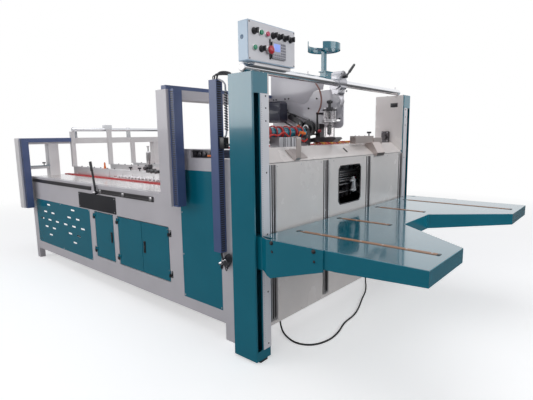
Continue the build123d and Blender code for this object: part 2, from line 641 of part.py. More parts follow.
PULLEY = (299.0, LEDGE_Z + 112.0, 92.0)
IDLER = (437.0, LEDGE_Z + 195.0, 34.0)
DRIVE = (545.0, LEDGE_Z + 215.0, 56.0)
PULLEY_X = (PLATE_FACE - 44.0, PLATE_FACE - 12.0)
BELT_THICK = 4.0
BELT_X = (PULLEY_X[0] + 5.0, PULLEY_X[1] - 5.0)


def pulley(y, z, diameter):
    """Flanged pulley on a stub shaft that stands out of the plate."""
    wide = PULLEY_X[1] - PULLEY_X[0]
    rim = diameter / 2
    profile = [(0, -12), (8, -12), (8, 0), (rim + 5, 0), (rim + 5, 4), (rim, 5), (rim, wide - 5),
               (rim + 5, wide - 4), (rim + 5, wide), (rim * 0.72, wide), (rim * 0.72, wide - 6),
               (rim * 0.4, wide - 6), (rim * 0.4, wide + 6), (0, wide + 6)]
    return Pos(PULLEY_X[1], y, z) * Rot(0, -90, 0) * turned(profile)


def circle_edge(y, z, diameter):
    """Circle about a pulley in the belt's plane."""
    return Pos(y, z) * Circle(diameter / 2).edges()[0]


def hull(extra):
    """Region that wraps the three pulleys, larger by an extra radius."""
    return make_hull([circle_edge(y, z, diameter + 2 * extra) for y, z, diameter in (PULLEY, IDLER, DRIVE)])


arm_end = (345.0, LEDGE_Z + 148.0)
arm_length = math.hypot(IDLER[0] - arm_end[0], IDLER[1] - arm_end[1])
arm_turn = math.degrees(math.atan2(IDLER[1] - arm_end[1], IDLER[0] - arm_end[0]))
arm_x = (PULLEY_X[0] - 16.0, PULLEY_X[0] - 4.0)
arm_face = Plane.YZ * (Pos((IDLER[0] + arm_end[0]) / 2, (IDLER[1] + arm_end[1]) / 2) * Rot(0, 0, arm_turn)
                       * SlotCenterToCenter(arm_length, 34))
tension_arm = Pos(arm_x[0], 0, 0) * extrude(arm_face, amount=arm_x[1] - arm_x[0], dir=(1, 0, 0))
tension_arm += bar_x((arm_x[0], PULLEY_X[0] + 1), IDLER[0], IDLER[1], 16)
save("drive_pulleys", pulley(*PULLEY), pulley(*IDLER) + tension_arm, pulley(*DRIVE))
belt_face = Plane.YZ * (hull(BELT_THICK) - hull(RUN))
save("drive_belt", Pos(BELT_X[0], 0, 0) * extrude(belt_face, amount=BELT_X[1] - BELT_X[0], dir=(1, 0, 0)))

MOTOR_X = (PLATE_FACE - 130.0, PLATE_FACE - 56.0)
MOTOR_Y = (461.0, PLATE_Y[1])
MOTOR_Z = (LEDGE_Z + 160.0, LEDGE_Z + 300.0)
motor = rounded_box(MOTOR_X, MOTOR_Y, MOTOR_Z, 22, Axis.X)
for place in range(7):
    z = MOTOR_Z[0] + 24 + place * 15
    motor -= box((MOTOR_X[0] - 1, MOTOR_X[0] + 7), (MOTOR_Y[0] + 24, MOTOR_Y[1] - 24), (z, z + 5))
for z in (MOTOR_Z[0] + 18, MOTOR_Z[1] - 18):
    motor += bar_x((MOTOR_X[1] - 1, PLATE_FACE), MOTOR_Y[1] - 16, z, 18)
motor += bar_x((MOTOR_X[1] - 1, PULLEY_X[0] - 6), DRIVE[0], DRIVE[1], 30)
save("drive_motor", motor)

POT = (PLATE_FACE - 60.0, 110.0, LEDGE_Z + 52.0)
pot = turned([(0, 0), (35, 0), (35, 93), (46, 94), (46, 114), (39, 115), (39, 168), (45, 169), (45, 177),
              (40, 178), (38, 186), (0, 186)])
pot = Pos(*POT) * pot
pot += star_knob(POT[0], POT[1], POT[2] + 184, 22)
pot += bar_z(POT[0], POT[1], (POT[2] + 225, POT[2] + 240), 8)
pot += box((PLATE_FACE - 34, PLATE_FACE), (POT[1] - 16, POT[1] + 16), (POT[2] + 118, POT[2] + 160))
pot += box((PLATE_FACE - 26, PLATE_FACE), (168, 182), (POT[2] + 55, POT[2] + 172))
save("glue_pot", pot)
SHOE_X = (PLATE_FACE - 110.0, PLATE_FACE - 30.0)
shoe_line = [(40, LEDGE_Z + 51.7), (180, LEDGE_Z + 51.7), (330, LEDGE_Z + 30), (330, LEDGE_Z + 20),
             (60, LEDGE_Z + 20), (30, LEDGE_Z + 42)]
shoe = plate_x(shoe_line, SHOE_X)
shoe = fillet(shoe.edges().filter_by(Axis.Z), 6) if shoe.edges().filter_by(Axis.Z) else shoe
shoe += box((PLATE_FACE - 50, PLATE_FACE), (190, 225), (LEDGE_Z + 40, LEDGE_Z + 140))
save("feed_shoe", shoe)

# Feed roller between the left side plate and its bearing
BEARING_X = (PLATE_FACE - 154.0, PLATE_FACE - 118.0)
axle = (-INSIDE + 40 + SEAT, BEARING_X[0] - SEAT)
roller_x = (axle[0] + 10, axle[1] - 10)
roller = bar_x(roller_x, ROLLER_Y, ROLLER_Z, ROLLER_D)
for x in (-560.0, -440.0, -300.0):
    roller += bar_x((x, x + 22), ROLLER_Y, ROLLER_Z, ROLLER_RING)
    roller -= bar_x((x + 8, x + 14), ROLLER_Y, ROLLER_Z, ROLLER_RING + 2) - bar_x(
        (x + 7, x + 15), ROLLER_Y, ROLLER_Z, ROLLER_D + 4)
roller += bar_x(axle, ROLLER_Y, ROLLER_Z, AXLE_D)
save("feed_roller", roller)
bearing = rounded_box(BEARING_X, around(ROLLER_Y, 60), (LEDGE_Z - 10, ROLLER_Z + 30), 12, Axis.X)
left_bearing = rounded_box((-INSIDE + SIDE_PLATE + 2, axle[0] - SEAT), around(ROLLER_Y, 56),
                           (LEDGE_Z - 10, ROLLER_Z + 30), 12, Axis.X)
flange_bearing = rounded_box((INSIDE - SIDE_PLATE - 26, INSIDE - SIDE_PLATE), around(142, 60),
                             (LEDGE_Z + 2, LEDGE_Z + 90), 8, Axis.X)
flange_bearing += bar_x((INSIDE - SIDE_PLATE - 44, INSIDE - SIDE_PLATE - 20), 142, LEDGE_Z + 44, 34)
save("roller_bearing", bearing, left_bearing, flange_bearing)

# Feed bed behind the ledge: belt deck, red belts and board stops
BED_LOW = UNIT_Z + 4.0
bed = box((-PANEL_HALF, PANEL_HALF), (LEDGE_END + 2, FEED_BED_END), (BED_LOW, LEDGE_Z - 10))
save("feed_bed", bed)
belts = [box(around(x, 60), (LEDGE_END + 10, FEED_BED_END), (LEDGE_Z - 10, LEDGE_Z)) for x in
         (-600, -350, -80, 120, 350)]

STOP_TOP = LEDGE_Z + 56.0
STOP_X = (-603.0, -562.0)
HOOK_SHEET = 4.0
hook_lift = HOOK_SHEET / 2 * math.hypot(1, SLOPE) + SEAT
left_stop = strap_x([(70, above_slope(70, hook_lift)), (4, above_slope(4, hook_lift)), (-9, SEAM_Z + 17),
                     (-9, STOP_TOP - 4), (24, STOP_TOP + 2)], STOP_X, HOOK_SHEET, 5)
slope_plane = Plane(origin=(STOP_X[1], 16, above_slope(16, SEAT)), x_dir=(1, 0, 0), z_dir=(0, -SLOPE, 1))
quarter = make_face([Line((-1, 0), (96, 0)), ThreePointArc((96, 0), (78, 52), (28, 78)), Line((28, 78), (-1, 78)),
                     Line((-1, 78), (-1, 0))])
left_stop += extrude(slope_plane * quarter, amount=5)
chute_x = (335.0, 452.0)
crest = above_slope(LEDGE_RISE_Y, SEAT)
chute = plate_x([(-26, SEAM_Z + 12), (-16, SEAM_Z - 12), (0, SEAM_Z - 12), (4, above_slope(4, SEAT)),
                 (LEDGE_RISE_Y - 14, above_slope(LEDGE_RISE_Y - 14, SEAT)), (LEDGE_RISE_Y - 14, STOP_TOP - 46),
                 (18, STOP_TOP - 46)], chute_x)
chute = fillet(chute.edges().filter_by(Axis.X).group_by(Axis.Z)[0], 6)
right_stop = chute + box((130, 392), (38, 82), (crest + 2, STOP_TOP))
right_stop += rounded_box((388, 520), (34, 86), (crest - 6, STOP_TOP - 14), 6, Axis.Y)
right_stop -= plate_x([(8, above_slope(8, SEAT)), (LEDGE_RISE_Y, crest),
                       (LEDGE_RISE_Y + 40, crest), (LEDGE_RISE_Y + 40, SEAM_Z - 54), (0, SEAM_Z - 54)], (100, 600))
save("board_stops", left_stop, right_stop)
blocks = []
for place in range(3):
    x = -620 + place * 57
    block = rounded_box((x, x + 50), (96, 170), (LEDGE_Z + 1.8, STOP_TOP), 6, Axis.Z)
    blocks.append(block - bar_z(x + 25, 133, (STOP_TOP - 12, STOP_TOP + 1), 14))
save("pressing_blocks", *blocks)


# Wiring gantries over the folding section
def post(x, y, z):
    """Upright of rectangular tube with rounded corners."""
    return rounded_box(x, y, z, 5, Axis.Z)


near = post((-GANTRY_OUT, -GANTRY_OUT + POST_WIDTH), NEAR_POST_Y, (NEAR_POST_LOW, NEAR_BAR_Z[1]))
near += box((-GANTRY_OUT + POST_WIDTH - 6, -FRAME_HALF), (NEAR_POST_Y[0] + 10, NEAR_POST_Y[1] - 10),
            (NEAR_POST_LOW, TABLE_Z))
near += post((FRAME_HALF - POST_WIDTH, FRAME_HALF), NEAR_POST_Y, (UNIT_Z, NEAR_BAR_Z[1]))
near += box((-GANTRY_OUT + 6, FRAME_HALF - 6), NEAR_POST_Y, NEAR_BAR_Z)
save("near_gantry", near)

far = post((-GANTRY_OUT, -GANTRY_OUT + POST_WIDTH), FAR_POST_Y, (FAR_POST_LOW, FAR_BAR_Z[1]))
far += box((-GANTRY_OUT + POST_WIDTH - 6, -FRAME_HALF), (FAR_POST_Y[0] + 10, FAR_POST_Y[1] - 10),
           (FAR_POST_LOW, FAR_POST_LOW + 60))
far += box((-GANTRY_OUT + 6, 0), FAR_POST_Y, FAR_BAR_Z)
far += mirrored(far)
for x in (-690.0, 550.0):
    far += box((x, x + 100), (FAR_POST_Y[0] + 5, FAR_POST_Y[1] - 5), (TABLE_Z, FAR_BAR_Z[0] + 1))
tie_z = (TABLE_Z + 73, TABLE_Z + 105)
far += box((-GANTRY_OUT + POST_WIDTH - 6, -689), (FAR_POST_Y[0] + 20, FAR_POST_Y[1] - 20), tie_z)
for x, top in zip(BEAM_X, (UPPER_Z - 21, UPPER_Z + 2, FAR_BAR_Z[1] - 22)):
    far += box(around(x, 44), (FAR_POST_Y[0] - 30, FAR_POST_Y[0] + 1), (BEAM_Z[1], top))
save("far_gantry", far)

# Round cross bar over the far gantry with its rests
upper_y = sum(FAR_POST_Y) / 2
upper_tube = bar_x((-420, GANTRY_OUT - 65), upper_y, UPPER_Z, UPPER_D)
for x in (-390, 240, GANTRY_OUT - 105):
    upper_tube += box(around(x, 36), around(upper_y, 30), (FAR_BAR_Z[1], UPPER_Z - 10))
    upper_tube += bar_x((x - 18, x + 18), upper_y, UPPER_Z, UPPER_D + 14)
upper_tube += rounded_box(around(-20, 90), around(upper_y, 44), (UPPER_Z, UPPER_Z + 52), 4, Axis.Y)
save("upper_tube", upper_tube)


def folding_beam(x):
    """Spine bar on three carriers, with two perforated angle plates beside it and rollers below the front one."""
    spine_y = (BEAM_START, FAR_POST_Y[0] - 30 - SEAT)
    beam = box(around(x, 34), spine_y, BEAM_Z)
    for y in (BEAM_START + 50, BEAM_START + 850, BEAM_START + 1480):
        beam += box(around(x, 60), (y, y + 40), (TABLE_Z, BEAM_Z[0] + 1))
    side = x - 17
    for start, end, low in ((BEAM_START + 30, BEAM_START + 670, 838.0), (BEAM_START + 830, BEAM_START + 1560, 834.0)):
        beam += box((side - WEB_SHEET, side + 1), (start, end), (low, BEAM_Z[1] + WEB_SHEET))
        beam += box((side - WEB_SHEET, side + WEB_FLANGE), (start, end), (BEAM_Z[1] - 1, BEAM_Z[1] + WEB_SHEET))
        for place in range(4):
            y = start + (end - start) * (place + 0.5) / 4
            beam -= bar_x((side - WEB_SHEET - 1, side + 6), y, (low + BEAM_Z[1]) / 2, WEB_HOLE)
    for place in range(12):
        beam += bar_x((side - 26, side - WEB_SHEET + 1), BEAM_START + 55 + place * 54, 851, 20)
    return beam


save("folding_beams", *[folding_beam(x) for x in BEAM_X])
lower = [box(around(x, 44), (UNIT_END + 80, FRAME_END - 60), (TABLE_Z, TABLE_Z + 8)) for x in
         (-510.0, -330.0, 330.0, 510.0)]
save("red_belts", *belts, *lower)

knob_size = 16.0
knob_top = BEAM_Z[1] + WEB_SHEET
knobs = [star_knob(BEAM_X[0], y, knob_top, knob_size) for y in (1942.0, 1799.0, 1647.0)]
knobs.append(star_knob(-727, upper_y, tie_z[1], knob_size))
knobs.append(star_knob(362, 60, STOP_TOP, knob_size))
save("star_knobs", *knobs)


# Wiring ducts
def duct(length):
    """Slotted wiring duct along +Z from the origin, its back on the XZ plane and its lid towards -Y."""
    half = DUCT_WIDTH / 2
    channel = box((-half, half), (-DUCT_DEPTH, 0), (0, length))
    channel -= box((-half + DUCT_WALL, half - DUCT_WALL), (-DUCT_DEPTH + DUCT_WALL, -DUCT_WALL), (-1, length + 1))
    count = int((length - DUCT_PITCH) // DUCT_PITCH)
    first = (length - (count - 1) * DUCT_PITCH) / 2
    slots = [box((-half - 1, half + 1), (-DUCT_DEPTH + 5, -12), around(first + place * DUCT_PITCH, DUCT_SLOT))
             for place in range(count)]
    return channel - slots


duct_x = -GANTRY_OUT + POST_WIDTH / 2
near_duct = Pos(duct_x, NEAR_POST_Y[0], NEAR_POST_LOW) * duct(NEAR_BAR_Z[1] - NEAR_POST_LOW)
near_lid = box((-GANTRY_OUT, FRAME_HALF), (NEAR_POST_Y[0], NEAR_POST_Y[0] + 45), (NEAR_BAR_Z[1], NEAR_BAR_Z[1] + 22))
far_duct = Pos(duct_x, FAR_POST_Y[0], FAR_POST_LOW) * duct(FAR_BAR_Z[1] - FAR_POST_LOW)
far_top = box((duct_x + DUCT_WIDTH / 2, BEAM_X[0] - 30), (FAR_POST_Y[0] - DUCT_DEPTH, FAR_POST_Y[0]),
              (FAR_BAR_Z[1] - 40, FAR_BAR_Z[1]))
side_duct_y = 334.0
side_duct = Pos(-FRAME_HALF, side_duct_y, 545) * Rot(0, 0, -90) * duct(COLUMN_HEIGHT - 550)
save("wiring_ducts", near_duct, near_lid, far_duct + far_top, side_duct)

# Bare sign plate, slotted rails and lever on the left side
save("sign_plate", rounded_box((-FRAME_HALF - 4, -FRAME_HALF), (1510, 2110), (622, 752), 6, Axis.X))
RAIL_PROUD = 8.0
front_rail = box((-FRAME_HALF - RAIL_PROUD, -FRAME_HALF), (1007, 1753), (765, 800))
front_rail -= box((-FRAME_HALF - RAIL_PROUD - 1, -FRAME_HALF - 3), (1020, 1740), (776, 789))
rear_rail = rounded_box((-FRAME_HALF - RAIL_PROUD, -FRAME_HALF), (1880, FRAME_END - 60), (780, 812), 3, Axis.Y)
save("slot_rails", front_rail, rear_rail)
pivot = (1780.0, 770.0)
side_lever = rounded_box((-FRAME_HALF - 20, -FRAME_HALF - 10), (-9, 9), (-14, 250), 6, Axis.X)
side_lever = Pos(0, *pivot) * Rot(-11, 0, 0) * side_lever
side_lever += bar_x((-FRAME_HALF - 26, -FRAME_HALF), pivot[0], pivot[1], 22)
save("side_lever", side_lever)

# Power cord looping on the floor below the front
trunk = box((-775, 775), (portal_y[1], 200 + PORTAL_TUBE), (PANEL_LOW, PANEL_LOW + 60))
GLAND_LOW = PANEL_LOW - 24
GLANDS = ((-505.0, 205.0), (640.0, 205.0))
for x, y in GLANDS:
    trunk += bar_z(x, y, (GLAND_LOW, PANEL_LOW), 20)
    trunk += Pos(x, y, PANEL_LOW - 10) * extrude(RegularPolygon(15, 6), amount=11)
save("cable_trunk", trunk)
floor_z = CORD_D / 2 + 0.5
route = [(-505, 205, GLAND_LOW), (-505, 205, 78), (-535, 165, floor_z), (-595, 85, floor_z), (-632, -20, floor_z),
         (-590, -110, floor_z), (-480, -150, floor_z), (-355, -140, floor_z), (-215, -95, floor_z),
         (-80, -92, floor_z), (65, -50, floor_z), (205, 5, floor_z), (345, 50, floor_z), (470, 110, floor_z),
         (570, 170, floor_z), (640, 205, 78), (640, 205, GLAND_LOW)]
points = [Vector(*point) for point in route]
radii = []
for before, here, after in zip(points, points[1:], points[2:]):
    turn = (here - before).get_angle(after - here)
    shorter = min((here - before).length, (after - here).length)
    radii.append(0.45 * shorter / math.tan(math.radians(turn) / 2))
print("cord radii", [round(radius) for radius in radii])
cord_line = FilletPolyline(*points, radius=radii)
start = Plane(cord_line @ 0, z_dir=cord_line % 0)
cord = sweep(start * Circle(CORD_D / 2), path=cord_line)
print("cord length", round(cord_line.length), "volume ratio", cord.volume / (math.pi * CORD_D**2 / 4 * cord_line.length))
save("power_cord", cord)
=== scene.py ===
import logging
import math
from dataclasses import dataclass
from enum import Enum

import bmesh
import bpy
from mathutils import Matrix, Vector


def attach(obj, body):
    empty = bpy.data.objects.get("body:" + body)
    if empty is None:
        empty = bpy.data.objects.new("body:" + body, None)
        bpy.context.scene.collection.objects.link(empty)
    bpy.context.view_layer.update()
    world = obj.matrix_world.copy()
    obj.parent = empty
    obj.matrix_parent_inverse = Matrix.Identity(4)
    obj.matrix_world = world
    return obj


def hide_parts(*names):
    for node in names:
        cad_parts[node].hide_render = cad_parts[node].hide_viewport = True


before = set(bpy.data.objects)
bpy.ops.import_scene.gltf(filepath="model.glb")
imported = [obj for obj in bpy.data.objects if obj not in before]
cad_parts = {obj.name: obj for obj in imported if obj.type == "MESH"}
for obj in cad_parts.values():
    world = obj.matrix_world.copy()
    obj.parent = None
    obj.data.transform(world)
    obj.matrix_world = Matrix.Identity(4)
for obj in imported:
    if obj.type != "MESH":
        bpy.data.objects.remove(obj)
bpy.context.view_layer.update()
log = logging.getLogger("folder_gluer")
Point = tuple[float, float, float]
Span = tuple[float, float]
Colour = tuple[float, float, float, float]
MM = 0.001
SMOOTH_ANGLE = math.radians(38)


class Body(str, Enum):
    """Bodies of the machine that the added pieces ride on."""

    FRAME = "machine_frame"
    PLATFORM = "platform"
    DOOR_FRONT = "front_door"
    DOOR_SINGLE = "single_door"
    ROLLER = "roller"


class Surface(Enum):
    """Kinds of surface, each with its own shader recipe."""

    PAINT = "paint"
    BRUSHED = "brushed"
    POLISHED = "polished"
    PLASTIC = "plastic"
    RUBBER = "rubber"
    GLASS = "glass"
    SCREEN = "screen"


@dataclass(frozen=True)
class Finish:
    """A named surface finish.

    Args:
        name: Material name.
        surface: Recipe that the shader follows.
        colour: Linear base colour.
        rough: Base roughness.
        slot: Material slot of the record; not used.
        bump: Strength of the fine relief.
        worn: Colour that shows at rubbed edges, or None.
        wear: Share of edge that is rubbed.
        coat: Weight of the clear coat.
        dust: Weight of the settled dust.
        edge: Radius in metres of the rounded edge look.
    """

    name: str
    surface: Surface
    colour: Point
    rough: float
    slot: str
    bump: float = 0.05
    worn: Point | None = None
    wear: float = 0.0
    coat: float = 0.0
    dust: float = 0.05
    edge: float = 0.001


TEAL = Finish("teal_enamel", Surface.PAINT, (0.0005, 0.155, 0.222), 0.15, "teal", bump=0.02, worn=(0.35, 0.45, 0.5),
              wear=0.25, coat=0.8, dust=0.015, edge=0.0022)
WHITE = Finish("white_enamel", Surface.PAINT, (0.56, 0.535, 0.56), 0.34, "frame_white", bump=0.04,
               worn=(0.3, 0.29, 0.31), wear=0.15, coat=0.3, dust=0.06, edge=0.002)
STOP = Finish("stop_steel", Surface.BRUSHED, (0.5, 0.445, 0.425), 0.3, "steel")
CREAM = Finish("cream_panel", Surface.PAINT, (0.8, 0.75, 0.725), 0.24, "panel_cream", bump=0.03, coat=0.4, dust=0.06,
               edge=0.0015)
CHROME = Finish("chromed_steel", Surface.POLISHED, (0.78, 0.78, 0.8), 0.1, "chrome", bump=0.01, dust=0.02)
STEEL = Finish("machined_steel", Surface.BRUSHED, (0.5, 0.49, 0.5), 0.32, "steel")
PLATE = Finish("pale_plate", Surface.PAINT, (0.56, 0.545, 0.58), 0.3, "panel_cream", bump=0.03, coat=0.3, dust=0.04)
TABLE = Finish("table_steel", Surface.BRUSHED, (0.74, 0.71, 0.7), 0.22, "steel", coat=0.2)
ALU = Finish("brushed_aluminium", Surface.BRUSHED, (0.7, 0.69, 0.7), 0.34, "alu", bump=0.04, dust=0.03)
BLACK = Finish("black_plastic", Surface.PLASTIC, (0.014, 0.014, 0.018), 0.32, "black", dust=0.04, edge=0.0012)
DUCT = Finish("duct_plastic", Surface.PLASTIC, (0.07, 0.105, 0.235), 0.34, "duct", coat=0.1)
BELT = Finish("red_belt", Surface.RUBBER, (0.42, 0.014, 0.016), 0.5, "red_belt", bump=0.2, edge=0.0015)
WOOD = Finish("wooden_bar", Surface.PLASTIC, (0.36, 0.17, 0.085), 0.45, "wood", bump=0.08, coat=0.1)
BLUE = Finish("pale_blue_box", Surface.PAINT, (0.42, 0.56, 0.7), 0.28, "blue_box", bump=0.04, coat=0.5, dust=0.04,
              edge=0.002)
MOTOR = Finish("motor_paint", Surface.PAINT, (0.018, 0.02, 0.04), 0.36, "motor", bump=0.06, coat=0.3, edge=0.0015)
CAST = Finish("cast_metal", Surface.BRUSHED, (0.46, 0.455, 0.48), 0.38, "steel", bump=0.1)
FACE = Finish("console_face_sheet", Surface.PAINT, (0.74, 0.73, 0.76), 0.34, "alu", bump=0.04, coat=0.2, dust=0.04)
PALE = Finish("pale_enamel", Surface.PAINT, (0.74, 0.72, 0.72), 0.34, "frame_white", bump=0.04, coat=0.3, edge=0.002)
DARK = Finish("dark_steel", Surface.BRUSHED, (0.1, 0.095, 0.1), 0.34, "black", bump=0.06, dust=0.08)
LOCK = Finish("blue_black_metal", Surface.PAINT, (0.03, 0.11, 0.22), 0.3, "motor", coat=0.3, dust=0.03)
GREEN = Finish("green_button", Surface.PLASTIC, (0.01, 0.26, 0.13), 0.25, "black", bump=0.02, coat=0.3, dust=0.02,
               edge=0.0008)
RED = Finish("red_button", Surface.PLASTIC, (0.48, 0.016, 0.03), 0.28, "red_belt", bump=0.02, coat=0.3, dust=0.02,
             edge=0.0008)
PINK = Finish("pink_button", Surface.PLASTIC, (0.56, 0.05, 0.12), 0.28, "red_belt", bump=0.02, coat=0.3, dust=0.02,
              edge=0.0008)
ORANGE = Finish("orange_plastic", Surface.PLASTIC, (0.8, 0.18, 0.02), 0.35, "red_belt", bump=0.04, coat=0.1,
                dust=0.03, edge=0.0008)
YELLOW = Finish("yellow_rubber", Surface.RUBBER, (0.72, 0.42, 0.03), 0.5, "red_belt", bump=0.1, dust=0.04,
                edge=0.0008)
RED_RUBBER = Finish("red_cord_rubber", Surface.RUBBER, (0.52, 0.02, 0.016), 0.42, "red_belt", bump=0.1, dust=0.03,
                    edge=0.0008)
HOSE = Finish("hose_rubber", Surface.RUBBER, (0.26, 0.13, 0.11), 0.4, "black", coat=0.1, dust=0.03, edge=0.0005)
CABLE = Finish("cable_sheath", Surface.RUBBER, (0.013, 0.014, 0.02), 0.42, "black", bump=0.06, dust=0.04, edge=0.0005)
KEY = Finish("key_plastic", Surface.PLASTIC, (0.23, 0.23, 0.27), 0.4, "black", bump=0.03, dust=0.02, edge=0.0004)
PALE_KEY = Finish("key_overlay", Surface.PLASTIC, (0.47, 0.46, 0.5), 0.38, "alu", bump=0.02, coat=0.1, dust=0.02,
                  edge=0.0004)
GLASS = Finish("pot_glass", Surface.GLASS, (0.94, 0.86, 0.88), 0.06, "chrome", bump=0.0, dust=0.0, edge=0.0005)
SCREEN = Finish("screen_glow", Surface.SCREEN, (0.23, 0.33, 0.76), 0.12, "alu", bump=0.0, dust=0.0, edge=0.0005)
CORD = Finish("cord_rubber", Surface.RUBBER, (0.01, 0.01, 0.01), 0.5, "cord", bump=0.1, dust=0.03)


def fill(tree: bpy.types.NodeTree, target: bpy.types.Node, sockets: dict[str | int, object]) -> None:
    """Sets inputs of a node, or links them.

    Args:
        tree: Tree that holds the node.
        target: The node.
        sockets: Value of each input, or the output that feeds it.
    """
    for key, value in sockets.items():
        if isinstance(value, bpy.types.NodeSocket):
            tree.links.new(value, target.inputs[key])
        else:
            target.inputs[key].default_value = value


def node(tree: bpy.types.NodeTree, kind: str, sockets: dict[str | int, object] | None = None,
         **settings: object) -> bpy.types.Node:
    """Adds a node to a tree.

    Args:
        tree: The tree.
        kind: Class name of the node.
        sockets: Value of each input, or the output that feeds it.
        settings: Properties of the node.

    Returns:
        The node.
    """
    made = tree.nodes.new(kind)
    for name, value in settings.items():
        setattr(made, name, value)
    fill(tree, made, sockets or {})
    return made


def product(tree: bpy.types.NodeTree, first: bpy.types.NodeSocket, second: object) -> bpy.types.NodeSocket:
    """Multiplies two values.

    Args:
        tree: Tree to work in.
        first: One factor.
        second: The other factor, as an output or a number.

    Returns:
        The product.
    """
    return node(tree, "ShaderNodeMath", {0: first, 1: second}, operation="MULTIPLY").outputs["Value"]


def span_map(tree: bpy.types.NodeTree, value: bpy.types.NodeSocket, **ends: float) -> bpy.types.NodeSocket:
    """Maps a value from one range to another.

    Args:
        tree: Tree to work in.
        value: The value.
        ends: Ends that differ from 0 and 1, as From_Min, From_Max, To_Min and To_Max.

    Returns:
        The mapped value.
    """
    sockets = {"Value": value, **{name.replace("_", " "): end for name, end in ends.items()}}
    return node(tree, "ShaderNodeMapRange", sockets).outputs["Result"]


def new_group(name: str, kind: str, inputs: dict[str, tuple[str, object]],
              outputs: dict[str, str]) -> bpy.types.NodeTree:
    """Makes a node group with its sockets.

    Args:
        name: Name of the group.
        kind: Shader or Geometry.
        inputs: Type and default of each input.
        outputs: Type of each output.

    Returns:
        The node tree, with its group nodes named in and out.
    """
    tree = bpy.data.node_groups.new(name, kind + "NodeTree")
    for label, (form, default) in inputs.items():
        socket = tree.interface.new_socket(label, in_out="INPUT", socket_type="NodeSocket" + form)
        if default is not None:
            socket.default_value = default
    for label, form in outputs.items():
        tree.interface.new_socket(label, in_out="OUTPUT", socket_type="NodeSocket" + form)
    tree.nodes.new("NodeGroupInput").name = "in"
    tree.nodes.new("NodeGroupOutput").name = "out"
    return tree


class ShaderLibrary:
    """Shader node groups shared by the materials. They give masks, values and normals."""

    WEAR_NOISE, BROAD_NOISE, DUST_NOISE = (45, 4), (5.0, 5), (14, 6)
    FINE_DETAIL = 3

    @staticmethod
    def _noise(tree: bpy.types.NodeTree, place: bpy.types.NodeSocket, scale: object,
               detail: float) -> bpy.types.NodeSocket:
        """Noise of one scale at a place."""
        return node(tree, "ShaderNodeTexNoise", {"Vector": place, "Scale": scale, "Detail": detail}).outputs["Fac"]

    @classmethod
    def edge_wear(cls) -> bpy.types.NodeTree:
        """Rounded edge normal and a mask of rubbed edges.

        Returns:
            The group.
        """
        tree = new_group("EdgeWear", "Shader", {"Radius": ("Float", 0.002), "Wear": ("Float", 0.2)},
                         {"Normal": "Vector", "Mask": "Float"})
        given = tree.nodes["in"].outputs
        bevel = node(tree, "ShaderNodeBevel", {"Radius": given["Radius"]}, samples=4).outputs["Normal"]
        flat = node(tree, "ShaderNodeNewGeometry").outputs["Normal"]
        dot = node(tree, "ShaderNodeVectorMath", {0: bevel, 1: flat}, operation="DOT_PRODUCT").outputs["Value"]
        speckle = cls._noise(tree, node(tree, "ShaderNodeTexCoord").outputs["Object"], *cls.WEAR_NOISE)
        bent = span_map(tree, dot, From_Min=0.995, From_Max=0.90)
        patch = span_map(tree, speckle, From_Min=0.50, From_Max=0.62)
        rubbed = product(tree, product(tree, bent, patch), given["Wear"])
        fill(tree, tree.nodes["out"], {"Normal": bevel, "Mask": rubbed})
        return tree

    @classmethod
    def grain(cls) -> bpy.types.NodeTree:
        """Fine and broad noise for orange peel, smudges and colour drift.

        Returns:
            The group.
        """
        tree = new_group("SurfaceGrain", "Shader", {"Scale": ("Float", 300.0), "Stretch": ("Float", 1.0)},
                         {"Fine": "Float", "Broad": "Float"})
        given = tree.nodes["in"].outputs
        place = node(tree, "ShaderNodeTexCoord").outputs["Object"]
        sides = node(tree, "ShaderNodeCombineXYZ", {"X": 1.0, "Y": given["Stretch"], "Z": 1.0}).outputs["Vector"]
        drawn = node(tree, "ShaderNodeVectorMath", {0: place, 1: sides}, operation="MULTIPLY").outputs["Vector"]
        fill(tree, tree.nodes["out"], {"Fine": cls._noise(tree, drawn, given["Scale"], cls.FINE_DETAIL),
                                       "Broad": cls._noise(tree, place, *cls.BROAD_NOISE)})
        return tree

    @classmethod
    def dust(cls) -> bpy.types.NodeTree:
        """Mask of dust that settles on faces that look up.

        Returns:
            The group.
        """
        tree = new_group("DustFilm", "Shader", {"Amount": ("Float", 0.1)}, {"Mask": "Float"})
        normal = node(tree, "ShaderNodeNewGeometry").outputs["Normal"]
        upward = node(tree, "ShaderNodeSeparateXYZ", {"Vector": normal}).outputs["Z"]
        cloud = cls._noise(tree, node(tree, "ShaderNodeTexCoord").outputs["Object"], *cls.DUST_NOISE)
        lift = span_map(tree, upward, From_Min=0.3, From_Max=1.0, To_Min=0.25)
        settled = product(tree, product(tree, lift, cloud), tree.nodes["in"].outputs["Amount"])
        fill(tree, tree.nodes["out"], {"Mask": settled})
        return tree


